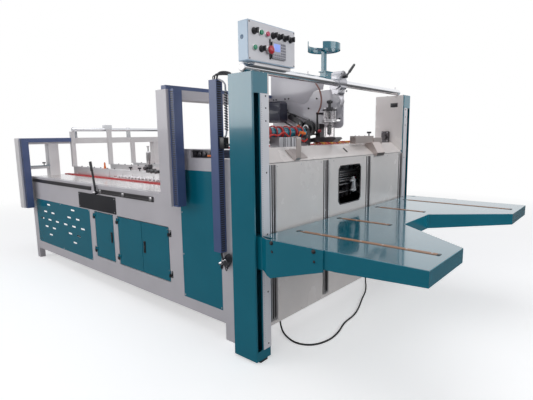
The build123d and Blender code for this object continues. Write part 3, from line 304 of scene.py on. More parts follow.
class Workshop:
    """Makes and keeps the materials, and dresses CAD nodes with them."""

    DUST_COLOUR = (0.50, 0.48, 0.45, 1)
    RELIEF_DEPTH = 0.0004
    COAT_ROUGHNESS = 0.06
    GRAIN_SCALE, BRUSHED_SCALE = 260.0, 420.0
    BRUSHED_STRETCH = 0.02
    COLOUR_DRIFT = (1.18, 0.002)
    ROUGH_DRIFT = (0.85, 1.25, 0.02)

    def __init__(self) -> None:
        """Builds the shared groups."""
        self.groups = {
            "edge": ShaderLibrary.edge_wear(),
            "grain": ShaderLibrary.grain(),
            "dust": ShaderLibrary.dust(),
        }
        self.made: dict[str, bpy.types.Material] = {}

    def _use(self, tree: bpy.types.NodeTree, key: str, **values: float) -> bpy.types.NodeOutputs:
        """Adds a shared group to a material and gives its outputs.

        Args:
            tree: Tree to work in.
            key: Key of the group.
            values: Value of each input.

        Returns:
            Outputs of the group.
        """
        used = node(tree, "ShaderNodeGroup", node_tree=self.groups[key])
        fill(tree, used, values)
        return used.outputs

    @staticmethod
    def _blend(tree: bpy.types.NodeTree, mask: bpy.types.NodeSocket, first: object,
               second: object) -> bpy.types.NodeSocket:
        """Blends from the first colour to the second by a mask."""
        return node(tree, "ShaderNodeMix", {0: mask, 6: first, 7: second}, data_type="RGBA").outputs[2]

    def material(self, finish: Finish) -> bpy.types.Material:
        """The material of a finish, made once.

        Args:
            finish: The finish to show.

        Returns:
            The Blender material.
        """
        if finish.name in self.made:
            return self.made[finish.name]
        material = bpy.data.materials.new(finish.name)
        material.use_nodes = True
        tree = material.node_tree
        brushed = finish.surface is Surface.BRUSHED
        edge = self._use(tree, "edge", Radius=finish.edge, Wear=finish.wear)
        grain = self._use(tree, "grain", Scale=self.BRUSHED_SCALE if brushed else self.GRAIN_SCALE,
                          Stretch=self.BRUSHED_STRETCH if brushed else 1.0)
        dust = self._use(tree, "dust", Amount=finish.dust)
        gain, lift = self.COLOUR_DRIFT
        lighter = [min(1.0, channel * gain + lift) for channel in finish.colour]
        drift = self._blend(tree, grain["Broad"], (*finish.colour, 1), (*lighter, 1))
        rubbed = self._blend(tree, edge["Mask"], drift, (*(finish.worn or finish.colour), 1))
        colour = self._blend(tree, dust["Mask"], rubbed, self.DUST_COLOUR)
        relief = node(tree, "ShaderNodeBump", {"Strength": finish.bump, "Distance": self.RELIEF_DEPTH,
                                               "Height": grain["Fine"], "Normal": edge["Normal"]})
        low, high, more = self.ROUGH_DRIFT
        looks = {"Base Color": colour, "Normal": relief.outputs["Normal"],
                 "Roughness": span_map(tree, grain["Broad"], To_Min=finish.rough * low,
                                       To_Max=min(1.0, finish.rough * high + more))}
        if finish.surface in (Surface.BRUSHED, Surface.POLISHED):
            looks["Metallic"] = 1.0
        if finish.surface is Surface.GLASS:
            looks |= {"Transmission Weight": 0.92, "IOR": 1.38}
        if finish.surface is Surface.SCREEN:
            looks |= {"Emission Color": colour, "Emission Strength": 0.45}
        if finish.coat:
            looks |= {"Coat Weight": finish.coat, "Coat Roughness": self.COAT_ROUGHNESS}
        fill(tree, tree.nodes["Principled BSDF"], looks)
        self.made[finish.name] = material
        return material

    def dress(self, name: str, finish: Finish) -> None:
        """Gives a CAD node its finish.

        Args:
            name: Name of the node.
            finish: Its finish.
        """
        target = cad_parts[name]
        target.data.materials.clear()
        target.data.materials.append(self.material(finish))
        log.info("dressed %s with %s", name, finish.name)


FACE_SHIFT = 1142.5


def spot(x: float, y: float, z: float) -> Vector:
    """Point of the frame in metres.

    Args:
        x: Millimetres across the machine.
        y: Millimetres behind the front face of the lift columns.
        z: Millimetres above the floor.

    Returns:
        The same point in the shared frame.
    """
    return Vector((x, y - FACE_SHIFT, z)) * MM


def linked(made: bpy.types.Object) -> bpy.types.Object:
    """Links an object to the scene and gives it back."""
    bpy.context.scene.collection.objects.link(made)
    return made


def smooth_object(name: str, data: bpy.types.Mesh) -> bpy.types.Object:
    """Makes an object of a mesh, smooth but for its sharp edges.

    Args:
        name: Name of the object.
        data: Its mesh.

    Returns:
        The object, not linked to the scene.
    """
    data.shade_smooth()
    data.set_sharp_from_angle(angle=SMOOTH_ANGLE)
    return bpy.data.objects.new(name, data)


class MeshKit:
    """Gathers the geometry of one piece. Sizes are in millimetres, places as in spot()."""

    def __init__(self) -> None:
        """Starts with an empty mesh."""
        self.mesh = bmesh.new()

    def _soften(self, edges: set[bmesh.types.BMEdge], bevel: float) -> "MeshKit":
        """Rounds edges.

        Args:
            edges: The edges.
            bevel: Width of the rounding, or 0 for none.
        """
        if bevel:
            bmesh.ops.bevel(self.mesh, geom=list(edges), offset=bevel * MM, segments=2, profile=0.5, affect="EDGES",
                            clamp_overlap=True)
        return self

    def _skin(self, rings: list[list[bmesh.types.BMVert]]) -> "MeshKit":
        """Makes a closed body over rings of vertices.

        Args:
            rings: Vertices of each ring, from one end to the other.
        """
        for low, high in zip(rings, rings[1:]):
            for step in range(len(low)):
                after = (step + 1) % len(low)
                self.mesh.faces.new((low[step], low[after], high[after], high[step]))
        self.mesh.faces.new(rings[0][::-1])
        self.mesh.faces.new(rings[-1])
        return self

    def slab(self, x: Span, y: Span, z: Span, bevel: float = 0.8) -> "MeshKit":
        """Adds a block with rounded edges.

        Args:
            x: Low and high end across.
            y: Low and high end along.
            z: Low and high end in height.
            bevel: Width of the rounding.
        """
        made = bmesh.ops.create_cube(self.mesh, size=1.0)["verts"]
        for vertex in made:
            vertex.co = spot(*(low + (high - low) * (place + 0.5) for (low, high), place in zip((x, y, z), vertex.co)))
        return self._soften({edge for vertex in made for edge in vertex.link_edges}, bevel)

    def turned(self, base: Vector, axis: Point, profile: list[tuple[float, ...]], sides: int = 28) -> "MeshKit":
        """Adds a body of revolution.

        Args:
            base: Foot of the axis in the frame, in metres.
            axis: Direction of the axis.
            profile: Height and radius of each ring, and its number of flats where it isn't round.
            sides: Steps around.
        """
        turn = Vector(axis).to_track_quat("Z", "Y").to_matrix()
        rings = []
        for height, radius, *flats in profile:
            ring = []
            for step in range(sides):
                angle = 2 * math.pi * step / sides
                reach = radius
                if flats:
                    half = math.pi / flats[0]
                    reach *= math.cos(half) / math.cos(angle % (2 * half) - half)
                local = Vector((reach * math.cos(angle), reach * math.sin(angle), height)) * MM
                ring.append(self.mesh.verts.new(base + turn @ local))
            rings.append(ring)
        return self._skin(rings)

    def rod(self, start: Point, end: Point, radius: float, chamfer: float = 0.6, sides: int = 20) -> "MeshKit":
        """Adds a round bar between two points.

        Args:
            start: One end.
            end: Other end.
            radius: Radius of the bar.
            chamfer: Width of the broken edges.
            sides: Steps around.
        """
        base, axis = spot(*start), spot(*end) - spot(*start)
        length, cut = axis.length / MM, min(chamfer, radius * 0.5)
        profile = [(0, radius - cut), (cut, radius), (length - cut, radius), (length, radius - cut)]
        return self.turned(base, tuple(axis), profile, sides)

    def ball(self, centre: Point, radius: float, sides: int = 20) -> "MeshKit":
        """Adds a ball.

        Args:
            centre: Its middle.
            radius: Its radius.
            sides: Steps around.
        """
        arcs = [math.pi * step / 12 for step in range(1, 12)]
        profile = [(-radius * math.cos(arc), radius * math.sin(arc)) for arc in arcs]
        return self.turned(spot(*centre), (0, 0, 1), profile, sides)

    def hose(self, points: list[Point], radius: float, sides: int = 10, steps: int = 8) -> "MeshKit":
        """Adds a round hose that runs smoothly through points.

        Args:
            points: Places that its middle line passes.
            radius: Its radius.
            sides: Steps around.
            steps: Steps between two points.
        """
        places = [spot(*point) for point in points]
        places = [2 * places[0] - places[1], *places, 2 * places[-1] - places[-2]]
        line = []
        for before, start, end, after in zip(places, places[1:], places[2:], places[3:]):
            for step in range(steps):
                t = step / steps
                line.append(0.5 * (2 * start + (end - before) * t + (2 * before - 5 * start + 4 * end - after) * t ** 2
                                   + (3 * start - before - 3 * end + after) * t ** 3))
        line.append(places[-2])
        side = (line[1] - line[0]).orthogonal().normalized()
        rings = []
        for index, place in enumerate(line):
            ahead = (line[min(index + 1, len(line) - 1)] - line[max(index - 1, 0)]).normalized()
            side = (side - ahead * side.dot(ahead)).normalized()
            up = ahead.cross(side)
            turns = [2 * math.pi * step / sides for step in range(sides)]
            rings.append([self.mesh.verts.new(place + (side * math.cos(a) + up * math.sin(a)) * radius * MM)
                          for a in turns])
        return self._skin(rings)

    def plate(self, outline: list[Span], x: Span, bevel: float = 0.5) -> "MeshKit":
        """Adds a flat plate that stands across the machine.

        Args:
            outline: Corners as along and height.
            x: Low and high end across.
            bevel: Width of the rounding.
        """
        low, high = ([self.mesh.verts.new(spot(place, along, height)) for along, height in outline] for place in x)
        made = [self.mesh.faces.new(low), self.mesh.faces.new(high[::-1])]
        for step in range(len(outline)):
            after = (step + 1) % len(outline)
            made.append(self.mesh.faces.new((low[after], low[step], high[step], high[after])))
        bmesh.ops.recalc_face_normals(self.mesh, faces=made)
        return self._soften({edge for face in made for edge in face.edges}, bevel)

    def bare(self, name: str) -> bpy.types.Object:
        """Makes the gathered geometry an object with no material.

        Args:
            name: Name of the object.

        Returns:
            The object, not linked to the scene.
        """
        data = bpy.data.meshes.new(name)
        self.mesh.to_mesh(data)
        self.mesh.free()
        return smooth_object(name, data)

    def piece(self, name: str, shop: Workshop, finish: Finish, body: Body = Body.FRAME,
              replaces: tuple[str, ...] = ()) -> bpy.types.Object:
        """Makes the gathered geometry a piece of the machine.

        Args:
            name: Name of the piece.
            shop: Source of materials.
            finish: Its finish.
            body: Body that it moves with.
            replaces: CAD nodes whose looks it takes over.

        Returns:
            The piece.
        """
        return settle(self.bare(name), shop, finish, body, replaces)


def settle(made: bpy.types.Object, shop: Workshop, finish: Finish, body: Body = Body.FRAME,
           replaces: tuple[str, ...] = ()) -> bpy.types.Object:
    """Links a made object, gives it its finish and puts it on a body.

    Args:
        made: The object.
        shop: Source of materials.
        finish: Its finish.
        body: Body that it moves with.
        replaces: CAD nodes whose looks it takes over.

    Returns:
        The object.
    """
    linked(made).data.materials.clear()
    made.data.materials.append(shop.material(finish))
    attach(made, body.value)
    if replaces:
        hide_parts(*replaces)
    log.info("built %s", made.name)
    return made


class Head(Enum):
    """Kinds of fastener heads, as rings of height, radius and flats for a head of radius 1."""

    SOCKET = ((0.0, 0.95), (0.05, 1.0), (1.1, 1.0), (1.2, 0.92), (1.2, 0.55, 6), (0.6, 0.52, 6))
    HEX = ((0.0, 1.4), (0.25, 1.4), (0.25, 1.05, 6), (0.9, 1.05, 6), (1.0, 0.95, 6), (1.0, 0.5), (1.2, 0.45))
    DOME = ((0.0, 1.0), (0.2, 1.0), (0.45, 0.86), (0.6, 0.6), (0.62, 0.45, 6), (0.3, 0.42, 6))


class PatternLibrary:
    """Geometry Nodes for what repeats: heads on points, grids of bars, and coils."""

    def __init__(self, shop: Workshop) -> None:
        """Builds the groups, whose results a workshop finishes."""
        self.shop = shop
        self.trees = {"heads": self._heads(), "grid": self._grid(), "coil": self._coil()}

    @staticmethod
    def _tree(name: str, inputs: dict[str, tuple[str, object]]) -> bpy.types.NodeTree:
        """Makes an empty geometry group that also takes geometry and a material."""
        sockets = {"Geometry": ("Geometry", None), **inputs, "Material": ("Material", None)}
        return new_group(name, "Geometry", sockets, {"Geometry": "Geometry"})

    @staticmethod
    def _close(tree: bpy.types.NodeTree, made: bpy.types.NodeSocket) -> bpy.types.NodeTree:
        """Ends a group with real geometry and its material.

        Args:
            tree: Tree to work in.
            made: Output with the geometry.

        Returns:
            The group.
        """
        real = node(tree, "GeometryNodeRealizeInstances", {"Geometry": made}).outputs["Geometry"]
        finish = tree.nodes["in"].outputs["Material"]
        painted = node(tree, "GeometryNodeSetMaterial", {"Geometry": real, "Material": finish})
        fill(tree, tree.nodes["out"], {"Geometry": painted.outputs["Geometry"]})
        return tree

    @classmethod
    def _lay(cls, tree: bpy.types.NodeTree, made: bpy.types.NodeSocket) -> bpy.types.NodeTree:
        """Turns geometry, puts it in its place and ends the group.

        Args:
            tree: Tree to work in.
            made: Output with the geometry.

        Returns:
            The group.
        """
        given = tree.nodes["in"].outputs
        moved = node(tree, "GeometryNodeTransform", {"Geometry": made, "Translation": given["Place"],
                                                     "Rotation": given["Turn"]})
        return cls._close(tree, moved.outputs["Geometry"])

    def _heads(self) -> bpy.types.NodeTree:
        """Heads on points, each turned towards the facing stored there and spun by chance.

        Returns:
            The group.
        """
        tree = self._tree("HeadsOnPoints", {"Head": ("Object", None), "Size": ("Float", 1.0), "Seed": ("Int", 7)})
        given = tree.nodes["in"].outputs
        info = node(tree, "GeometryNodeObjectInfo", {"Object": given["Head"]})
        facing = node(tree, "GeometryNodeInputNamedAttribute", {"Name": "facing"}, data_type="FLOAT_VECTOR")
        align = node(tree, "FunctionNodeAlignRotationToVector", {"Vector": facing.outputs["Attribute"]}, axis="Z")
        spin = node(tree, "FunctionNodeRandomValue", {3: 2 * math.pi, "Seed": given["Seed"]})
        about = node(tree, "FunctionNodeAxisAngleToRotation", {"Angle": spin.outputs[1]})
        turn = node(tree, "FunctionNodeRotateRotation", {
            "Rotation": align.outputs["Rotation"], "Rotate By": about.outputs["Rotation"]}, rotation_space="LOCAL")
        place = node(tree, "GeometryNodeInstanceOnPoints", {
            "Points": given["Geometry"], "Instance": info.outputs["Geometry"], "Rotation": turn.outputs["Rotation"],
            "Scale": given["Size"]})
        return self._close(tree, place.outputs["Instances"])

    def _grid(self) -> bpy.types.NodeTree:
        """Bars of one size in rows and columns.

        Returns:
            The group.
        """
        tree = self._tree("BarGrid", {"Columns": ("Int", 3), "Rows": ("Int", 3), "Width": ("Float", 0.1),
                                      "Height": ("Float", 0.1), "Bar": ("Vector", (0.01, 0.01, 0.01)),
                                      "Place": ("Vector", (0, 0, 0)), "Turn": ("Vector", (0, 0, 0))})
        given = tree.nodes["in"].outputs
        grid = node(tree, "GeometryNodeMeshGrid", {"Vertices X": given["Columns"], "Vertices Y": given["Rows"],
                                                   "Size X": given["Width"], "Size Y": given["Height"]})
        bar = node(tree, "GeometryNodeMeshCube", {"Size": given["Bar"]})
        place = node(tree, "GeometryNodeInstanceOnPoints", {
            "Points": grid.outputs["Mesh"], "Instance": bar.outputs["Mesh"]})
        return self._lay(tree, place.outputs["Instances"])

    def _coil(self) -> bpy.types.NodeTree:
        """Round wire wound in a coil that stands on its place.

        Returns:
            The group.
        """
        tree = self._tree("Coil", {"Turns": ("Float", 4.0), "Radius": ("Float", 0.02), "Length": ("Float", 0.05),
                                   "Wire": ("Float", 0.002), "Place": ("Vector", (0, 0, 0)),
                                   "Turn": ("Vector", (0, 0, 0))})
        given = tree.nodes["in"].outputs
        spiral = node(tree, "GeometryNodeCurveSpiral", {
            "Resolution": 28, "Rotations": given["Turns"], "Start Radius": given["Radius"],
            "End Radius": given["Radius"], "Height": given["Length"]})
        ring = node(tree, "GeometryNodeCurvePrimitiveCircle", {"Resolution": 9, "Radius": given["Wire"]})
        swept = node(tree, "GeometryNodeCurveToMesh", {"Curve": spiral.outputs["Curve"],
                                                       "Profile Curve": ring.outputs["Curve"], "Fill Caps": True})
        return self._lay(tree, swept.outputs["Mesh"])

    def _run(self, key: str, name: str, carrier: bpy.types.Mesh, finish: Finish, body: Body,
             values: dict[str, object]) -> bpy.types.Object:
        """Runs a group and keeps its result as a plain piece.

        Args:
            key: Key of the group.
            name: Name of the piece.
            carrier: Mesh that the group starts from.
            finish: Finish of the piece.
            body: Body that it moves with.
            values: Value of each named input.

        Returns:
            The piece.
        """
        tree = self.trees[key]
        holder = linked(bpy.data.objects.new(name + "_source", carrier))
        modifier = holder.modifiers.new("pattern", "NODES")
        modifier.node_group = tree
        values["Material"] = self.shop.material(finish)
        for item in tree.interface.items_tree:
            if item.in_out == "INPUT" and item.name in values:
                modifier[item.identifier] = values[item.name]
        graph = bpy.context.evaluated_depsgraph_get()
        graph.update()
        data = bpy.data.meshes.new_from_object(holder.evaluated_get(graph))
        bpy.data.objects.remove(holder)
        data.name = name
        return settle(smooth_object(name, data), self.shop, finish, body)

    def _laid(self, key: str, name: str, place: Point, turn: Point, finish: Finish, body: Body,
              **values: object) -> bpy.types.Object:
        """Runs a group whose result is turned and put in its place.

        Args:
            key: Key of the group.
            name: Name of the piece.
            place: Where it stands.
            turn: Its turn about X, Y and Z in degrees.
            finish: Finish of the piece.
            body: Body that it moves with.
            values: Value of each further input.

        Returns:
            The piece.
        """
        values |= {"Place": list(spot(*place)), "Turn": [math.radians(angle) for angle in turn]}
        return self._run(key, name, bpy.data.meshes.new(name + "_empty"), finish, body, values)

    def heads(self, name: str, head: Head, size: float, facing: Point, points: list[Point], finish: Finish,
              body: Body = Body.FRAME) -> bpy.types.Object:
        """Puts fastener heads on points.

        Args:
            name: Name of the piece.
            head: Kind of head.
            size: Radius of a head in millimetres.
            facing: Way that the heads look.
            points: Their seats.
            finish: Their finish.
            body: Body that they move with.

        Returns:
            The piece.
        """
        pattern = linked(MeshKit().turned(Vector((0, 0, 0)), UP, list(head.value), 24).bare(name + "_head"))
        carrier = bpy.data.meshes.new(name + "_points")
        carrier.from_pydata([tuple(spot(*point)) for point in points], [], [])
        ways = carrier.attributes.new("facing", "FLOAT_VECTOR", "POINT")
        for item in ways.data:
            item.vector = facing
        made = self._run("heads", name, carrier, finish, body, {"Head": pattern, "Size": size})
        bpy.data.objects.remove(pattern)
        return made

    def grid(self, name: str, count: tuple[int, int], span: Span, bar: Point, centre: Point, turn: Point,
             finish: Finish, body: Body = Body.FRAME) -> bpy.types.Object:
        """Puts bars in rows and columns.

        Args:
            name: Name of the piece.
            count: Columns and rows.
            span: Width and height from the first bar to the last, in millimetres.
            bar: Size of a bar in millimetres.
            centre: Middle of the grid.
            turn: Turn of the grid about X, Y and Z in degrees.
            finish: Finish of the bars.
            body: Body that they move with.

        Returns:
            The piece.
        """
        return self._laid("grid", name, centre, turn, finish, body, Columns=count[0], Rows=count[1],
                          Width=span[0] * MM, Height=span[1] * MM, Bar=[side * MM for side in bar])

    def coil(self, name: str, turns: float, radius: float, length: float, wire: float, foot: Point, turn: Point,
             finish: Finish, body: Body = Body.FRAME) -> bpy.types.Object:
        """Winds a coil of wire or cable.

        Args:
            name: Name of the piece.
            turns: Number of turns.
            radius: Radius of the coil in millimetres.
            length: Its length in millimetres.
            wire: Radius of the wire in millimetres.
            foot: Where it starts.
            turn: Turn of its axis about X, Y and Z in degrees.
            finish: Its finish.
            body: Body that it moves with.

        Returns:
            The piece.
        """
        return self._laid("coil", name, foot, turn, finish, body, Turns=turns, Radius=radius * MM,
                          Length=length * MM, Wire=wire * MM)


LEFT: Point = (-1.0, 0.0, 0.0)
FRONT: Point = (0.0, -1.0, 0.0)
UP: Point = (0.0, 0.0, 1.0)
SIDES: tuple[tuple[int, str], ...] = ((-1, "left"), (1, "right"))


class SubAssembly:
    """Part of the machine: the finishes of its CAD nodes, and the pieces that are added to them."""

    finishes: dict[str, Finish] = {}

    def dress(self, shop: Workshop) -> None:
        """Gives the CAD nodes their finishes.

        Args:
            shop: Source of materials.
        """
        for name, finish in self.finishes.items():
            shop.dress(name, finish)

    def build(self, shop: Workshop, patterns: PatternLibrary) -> None:
        """Makes the added pieces.

        Args:
            shop: Source of materials.
            patterns: Source of repeated pieces.
        """


@dataclass
class LiftColumns(SubAssembly):
    """Two lift columns with strips, rods and feet.

    Args:
        strip_x: Middle of the right strip across.
        strip_z: Low and high end of a strip.
        tick: Distance between two marks of the scale.
        knob_z: Height of the clamping knob.
    """

    strip_x: float = 855.0
    strip_z: Span = (65.0, 1400.0)
    tick: float = 10.0
    knob_z: float = 505.0
    finishes = {"lift_columns": TEAL, "column_feet": BLACK, "guide_rods": CHROME, "scale_strips": FACE}

    def build(self, shop: Workshop, patterns: PatternLibrary) -> None:
        """Adds marks, strip screws and the clamping knobs.

        Args:
            shop: Source of materials.
            patterns: Source of repeated pieces.
        """
        rows = int((self.strip_z[1] - self.strip_z[0] - 80) / self.tick)
        middle = sum(self.strip_z) / 2
        for side, name in SIDES:
            x = side * self.strip_x
            patterns.grid(f"scale_marks_{name}", (1, rows), (0, (rows - 1) * self.tick), (8, 0.8, 0.3),
                          (x + side * 22, -3.1, middle), (90, 0, 0), BLACK)
            patterns.heads(f"strip_screws_{name}", Head.DOME, 4.2, FRONT,
                           [(x - side * 8, -3, z) for z in (90, 380, 690, 1010, 1267, 1330, 1388)], BLACK)
            patterns.heads(f"column_cap_screws_{name}", Head.SOCKET, 4.0, UP,
                           [(side * 882 + dx, 83 + dy, 1500) for dx in (-42, 42) for dy in (-66, 66)], STEEL)
            knob = [(0, 9), (3, 9), (3, 6), (12, 6), (12, 15), (15, 18), (25, 18), (29, 14), (30, 6)]
            MeshKit().turned(spot(x - side * 18, -3, self.knob_z), FRONT, knob).piece(f"strip_knob_{name}", shop, BLACK)


@dataclass
class LiftPlatform(SubAssembly):
    """Forked platform on its two arms.

    Args:
        top: Height of the wooden bars' faces.
        bolt_z: Height of the arm bolts.
    """

    top: float = 693.0
    bolt_z: float = 677.0
    finishes = {"lift_platform": TEAL, "platform_arms": TEAL, "platform_bars": WOOD}

    def build(self, shop: Workshop, patterns: PatternLibrary) -> None:
        """Adds the arm bolts and the screws of the bars.

        Args:
            shop: Source of materials.
            patterns: Source of repeated pieces.
        """
        for side, name in SIDES:
            way = (float(side), 0.0, 0.0)
            patterns.heads(f"arm_bolts_{name}", Head.HEX, 7.5, way,
                           [(side * 931, y, self.bolt_z) for y in (-102, -350)], DARK, Body.PLATFORM)
            patterns.heads(f"arm_pins_{name}", Head.DOME, 5.5, way, [(side * 931, -105, 633), (side * 931, -353, 630)],
                           BLACK, Body.PLATFORM)
            ends = MeshKit()
            for x, near, far in ((687, -817, -86), (254, -403, -69)):
                for y in (near, far):
                    ends.slab((side * x - 14, side * x + 14), (y - 6, y + 6), (690.6, 693.2), 0.6)
            ends.piece(f"bar_ends_{name}", shop, BLACK, Body.PLATFORM)
            screws = [(side * 687, -812 + 24 + 120 * step * 0.93, self.top) for step in range(7)]
            screws += [(side * 254, -398 + 20 + 94 * step, self.top) for step in range(4)]
            patterns.heads(f"bar_screws_{name}", Head.DOME, 4.0, UP, screws, STEEL, Body.PLATFORM)


@dataclass
class FrontPanels(SubAssembly):
    """Front panels with their rails, the window and the feed ledge.

    Args:
        rails: Middle of each rail across.
        window_x: Sides of the window.
        window_z: Low and high edge of the window.
        corner: Radius of the window's corners.
    """

    rails: tuple[float, ...] = (-792.0, -286.0, 254.0, 792.0)
    window_x: Span = (-138.0, 144.0)
    window_z: Span = (751.0, 999.0)
    corner: float = 36.0
    finishes = {"front_panels": CREAM, "panel_rails": ALU, "front_ledge": CREAM, "front_frame": WHITE,
                "side_plates": CREAM, "board_stops": STOP, "inner_drive": STEEL, "cable_trunk": WHITE}

    def build(self, shop: Workshop, patterns: PatternLibrary) -> None:
        """Adds the window's trim and the screws.

        Args:
            shop: Source of materials.
            patterns: Source of repeated pieces.
        """
        loop, (left, right), (low, high), r = [], self.window_x, self.window_z, self.corner
        for cx, cz, start in ((right - r, low + r, -90), (right - r, high - r, 0), (left + r, high - r, 90),
                              (left + r, low + r, 180)):
            for step in range(5):
                angle = math.radians(start + step * 22.5)
                loop.append((cx + r * math.cos(angle), 4.0, cz + r * math.sin(angle)))
        MeshKit().hose(loop + loop[:2], 3.2, 8, 4).piece("window_trim", shop, BLACK)
        screws = [(x + dx, -3, z) for x in self.rails[1:3] for dx in (-17, 17) for z in (225, 480, 740, 1000)]
        patterns.heads("rail_screws", Head.DOME, 3.6, FRONT, screws, STEEL)
        seams = MeshKit()
        for x in self.rails:
            for dx in (-26.5, -9, 9, 26.5):
                if abs(x + dx) < 816:
                    seams.slab((x + dx - 1.1, x + dx + 1.1), (-3.3 if abs(dx) < 10 else 1, 4.9), (200, 1046), 0.2)
        seams.piece("rail_seams", shop, DARK)
        edge = [(x, 5, z) for x in (-750, -540, -340, -200, 180, 330, 560, 750) for z in (188, 1036)]
        patterns.heads("panel_screws", Head.DOME, 3.4, FRONT, edge, STEEL)
        patterns.heads("ledge_screws", Head.DOME, 4.0, UP, [(x, 176, 1131.5) for x in range(-720, 740, 160)], STEEL)
        patterns.heads("stop_screws", Head.SOCKET, 4.0, UP, [(x, 60, 1186) for x in (165, 215, 300)], STEEL)
        slanted = MeshKit()
        for x in (150, 210, 300):
            slanted.rod((x, 120, 770), (x + 46, 120, 985), 5.5)
        slanted.piece("window_belts", shop, BLACK)
        cross = MeshKit()
        for y, z, radius in ((140, 800, 9), (150, 846, 6), (118, 934, 7), (150, 968, 12)):
            cross.rod((-300, y, z), (520, y, z), radius)
        for x in (-60, 40, 190, 360):
            cross.slab((x, x + 12), (128, 160), (760, 1000), 2.0)
        for y, z, radius in ((88, 948, 6), (80, 931, 4), (92, 917, 5), (76, 902, 3.5), (90, 884, 6), (80, 862, 4),
                             (92, 806, 5)):
            cross.rod((-240, y, z), (420, y, z), radius)
        cross.piece("window_shafts", shop, STEEL)
        outline = [(34, 812), (50, 802), (64, 818), (58, 872), (66, 904), (48, 912), (40, 880)]
        lever = MeshKit().plate(outline, (124, 142), 2.0)
        lever.rod((100, 52, 884), (160, 52, 884), 8, 1).rod((96, 50, 820), (170, 50, 820), 6, 1)
        lever.piece("window_lever", shop, PALE)
        walls = MeshKit().slab((-240, 420), (12, 300), (704, 712), 0.5)
        walls.slab((420, 424), (12, 300), (704, 1000), 0.5)
        walls.piece("window_floor", shop, DARK)
        MeshKit().slab((-240, 640), (306, 309), (690, 1040), 0.5).piece("housing_back", shop, DARK)
        MeshKit().rod((262, 110, 800), (258, 110, 878), 4.0).piece("window_lever", shop, STEEL)
        MeshKit().ball((258, 110, 890), 13.0).piece("window_lever_ball", shop, PINK)
        wheel = [(0, 12), (0, 34), (4, 37), (8, 30), (14, 30), (18, 37), (22, 34), (22, 10), (27, 8)]
        MeshKit().turned(spot(330, 130, 823), FRONT, wheel, 36).piece("window_wheel", shop, ALU)
        # Painted shade: thin black strips fill the gaps between the ledge blocks, where shade falls.
        gap_shade = MeshKit()
        for x in (-585, -551, -517, -483):
            gap_shade.slab((x - 1.3, x + 1.3), (95.2, 170.8), (1132, 1186.6), 0.2)
        gap_shade.piece("block_gaps", shop, BLACK)


@dataclass
class Console(SubAssembly):
    """Control box on the cross tube.

    Args:
        face_y: Front of the control panel.
        pitch_top: Distance between two controls of the upper row.
        pitch_low: Distance between two controls of the lower row.
        first_x: Middle of the first control of each row.
        rows: Heights of the two rows.
        screen_x: Sides of the screen.
        screen_z: Low and high edge of the screen.
    """

    face_y: float = -3.0
    pitch_top: float = 46.0
    pitch_low: float = 50.0
    first_x: float = -923.0
    rows: Span = (1681.0, 1607.0)
    screen_x: Span = (-789.0, -741.0)
    screen_z: Span = (1607.0, 1643.0)
    finishes = {"console_box": BLUE, "console_face": FACE, "console_saddle": STEEL, "console_controls": BLACK,
                "counter_display": BLACK}

    def _knob(self, kit: MeshKit, x: float, z: float) -> None:
        """Adds a turning switch with its grip to a kit.

        Args:
            kit: Kit that takes the shapes.
            x: Middle across.
            z: Height of the middle.
        """
        collar = [(0, 16), (4, 16), (5, 15), (5, 13), (18, 12), (19, 11)]
        kit.turned(spot(x, self.face_y, z), FRONT, collar, 30)
        kit.slab((x - 3.2, x + 3.2), (self.face_y - 31, self.face_y - 15), (z - 12.5, z + 12.5), 1.5)

    def build(self, shop: Workshop, patterns: PatternLibrary) -> None:
        """Adds switches, push buttons, screen, keys, screws and the lock.

        Args:
            shop: Source of materials.
            patterns: Source of repeated pieces.
        """
        black, bezels = MeshKit(), MeshKit()
        collar = [(0, 14.5), (4, 14.5), (5, 13.2), (5, 11.6)]
        caps = {"green": [], "pink": [], "red": []}
        upper = ["black", "green", "pink", *["black"] * 4]
        for index, kind in enumerate(upper):
            x = self.first_x + self.pitch_top * index
            if kind == "black":
                self._knob(black, x, self.rows[0])
            else:
                caps[kind].append((x, self.rows[0]))
        caps["green"].append((self.first_x, self.rows[1]))
        self._knob(black, self.first_x + self.pitch_low, self.rows[1])
        for places in caps.values():
            for x, z in places:
                bezels.turned(spot(x, self.face_y, z), FRONT, collar, 30)
        black.slab((-813, -807), (-9, -3), (1566, 1662), 1.2)
        black.piece("console_switches", shop, BLACK, replaces=("console_controls",))
        button = [(0, 11.4), (11, 11.4), (13, 10.2), (13.6, 7.0)]
        for kind, finish in (("green", GREEN), ("pink", PINK)):
            kit = MeshKit()
            for x, z in caps[kind]:
                kit.turned(spot(x, self.face_y, z), FRONT, button, 30)
            kit.piece(f"console_{kind}_buttons", shop, finish)
        x, z = self.first_x + 2 * self.pitch_low, self.rows[1]
        bezels.turned(spot(x, self.face_y, z), FRONT, [(0, 19), (2, 19), (3, 15), (12, 13)], 30)
        bezels.piece("console_bezels", shop, ALU)
        mushroom = [(0, 9), (16, 9), (17, 19), (21, 20.5), (27, 18.5), (31, 12), (32, 6)]
        MeshKit().turned(spot(x, self.face_y, z), FRONT, mushroom, 36).piece("console_stop_button", shop, RED)
        MeshKit().slab(self.screen_x, (-13.4, -12), self.screen_z, 0.5).piece("console_screen", shop, SCREEN)
        MeshKit().slab((-800, -695), (-12.6, -12), (1571, 1651), 0.3).piece("console_overlay", shop, PALE_KEY)
        patterns.grid("console_keys_right", (3, 4), (26, 42), (8, 7, 2.4), (-716, -13.4, 1622), (90, 0, 0), KEY)
        patterns.grid("console_keys_low", (7, 2), (88, 12), (8, 6, 2.4), (-747.5, -13.4, 1583), (90, 0, 0), KEY)
        corners = [(x, self.face_y, z) for x in (-955, -616) for z in (1555, 1719)]
        patterns.heads("console_screws", Head.DOME, 3.4, FRONT, corners, BLACK)
        lock = [(0, 19), (3, 19), (4, 14), (11, 14), (12, 11)]
        MeshKit().turned(spot(-965 + 12, 36, 1654), LEFT, lock).piece("console_lock", shop, LOCK)


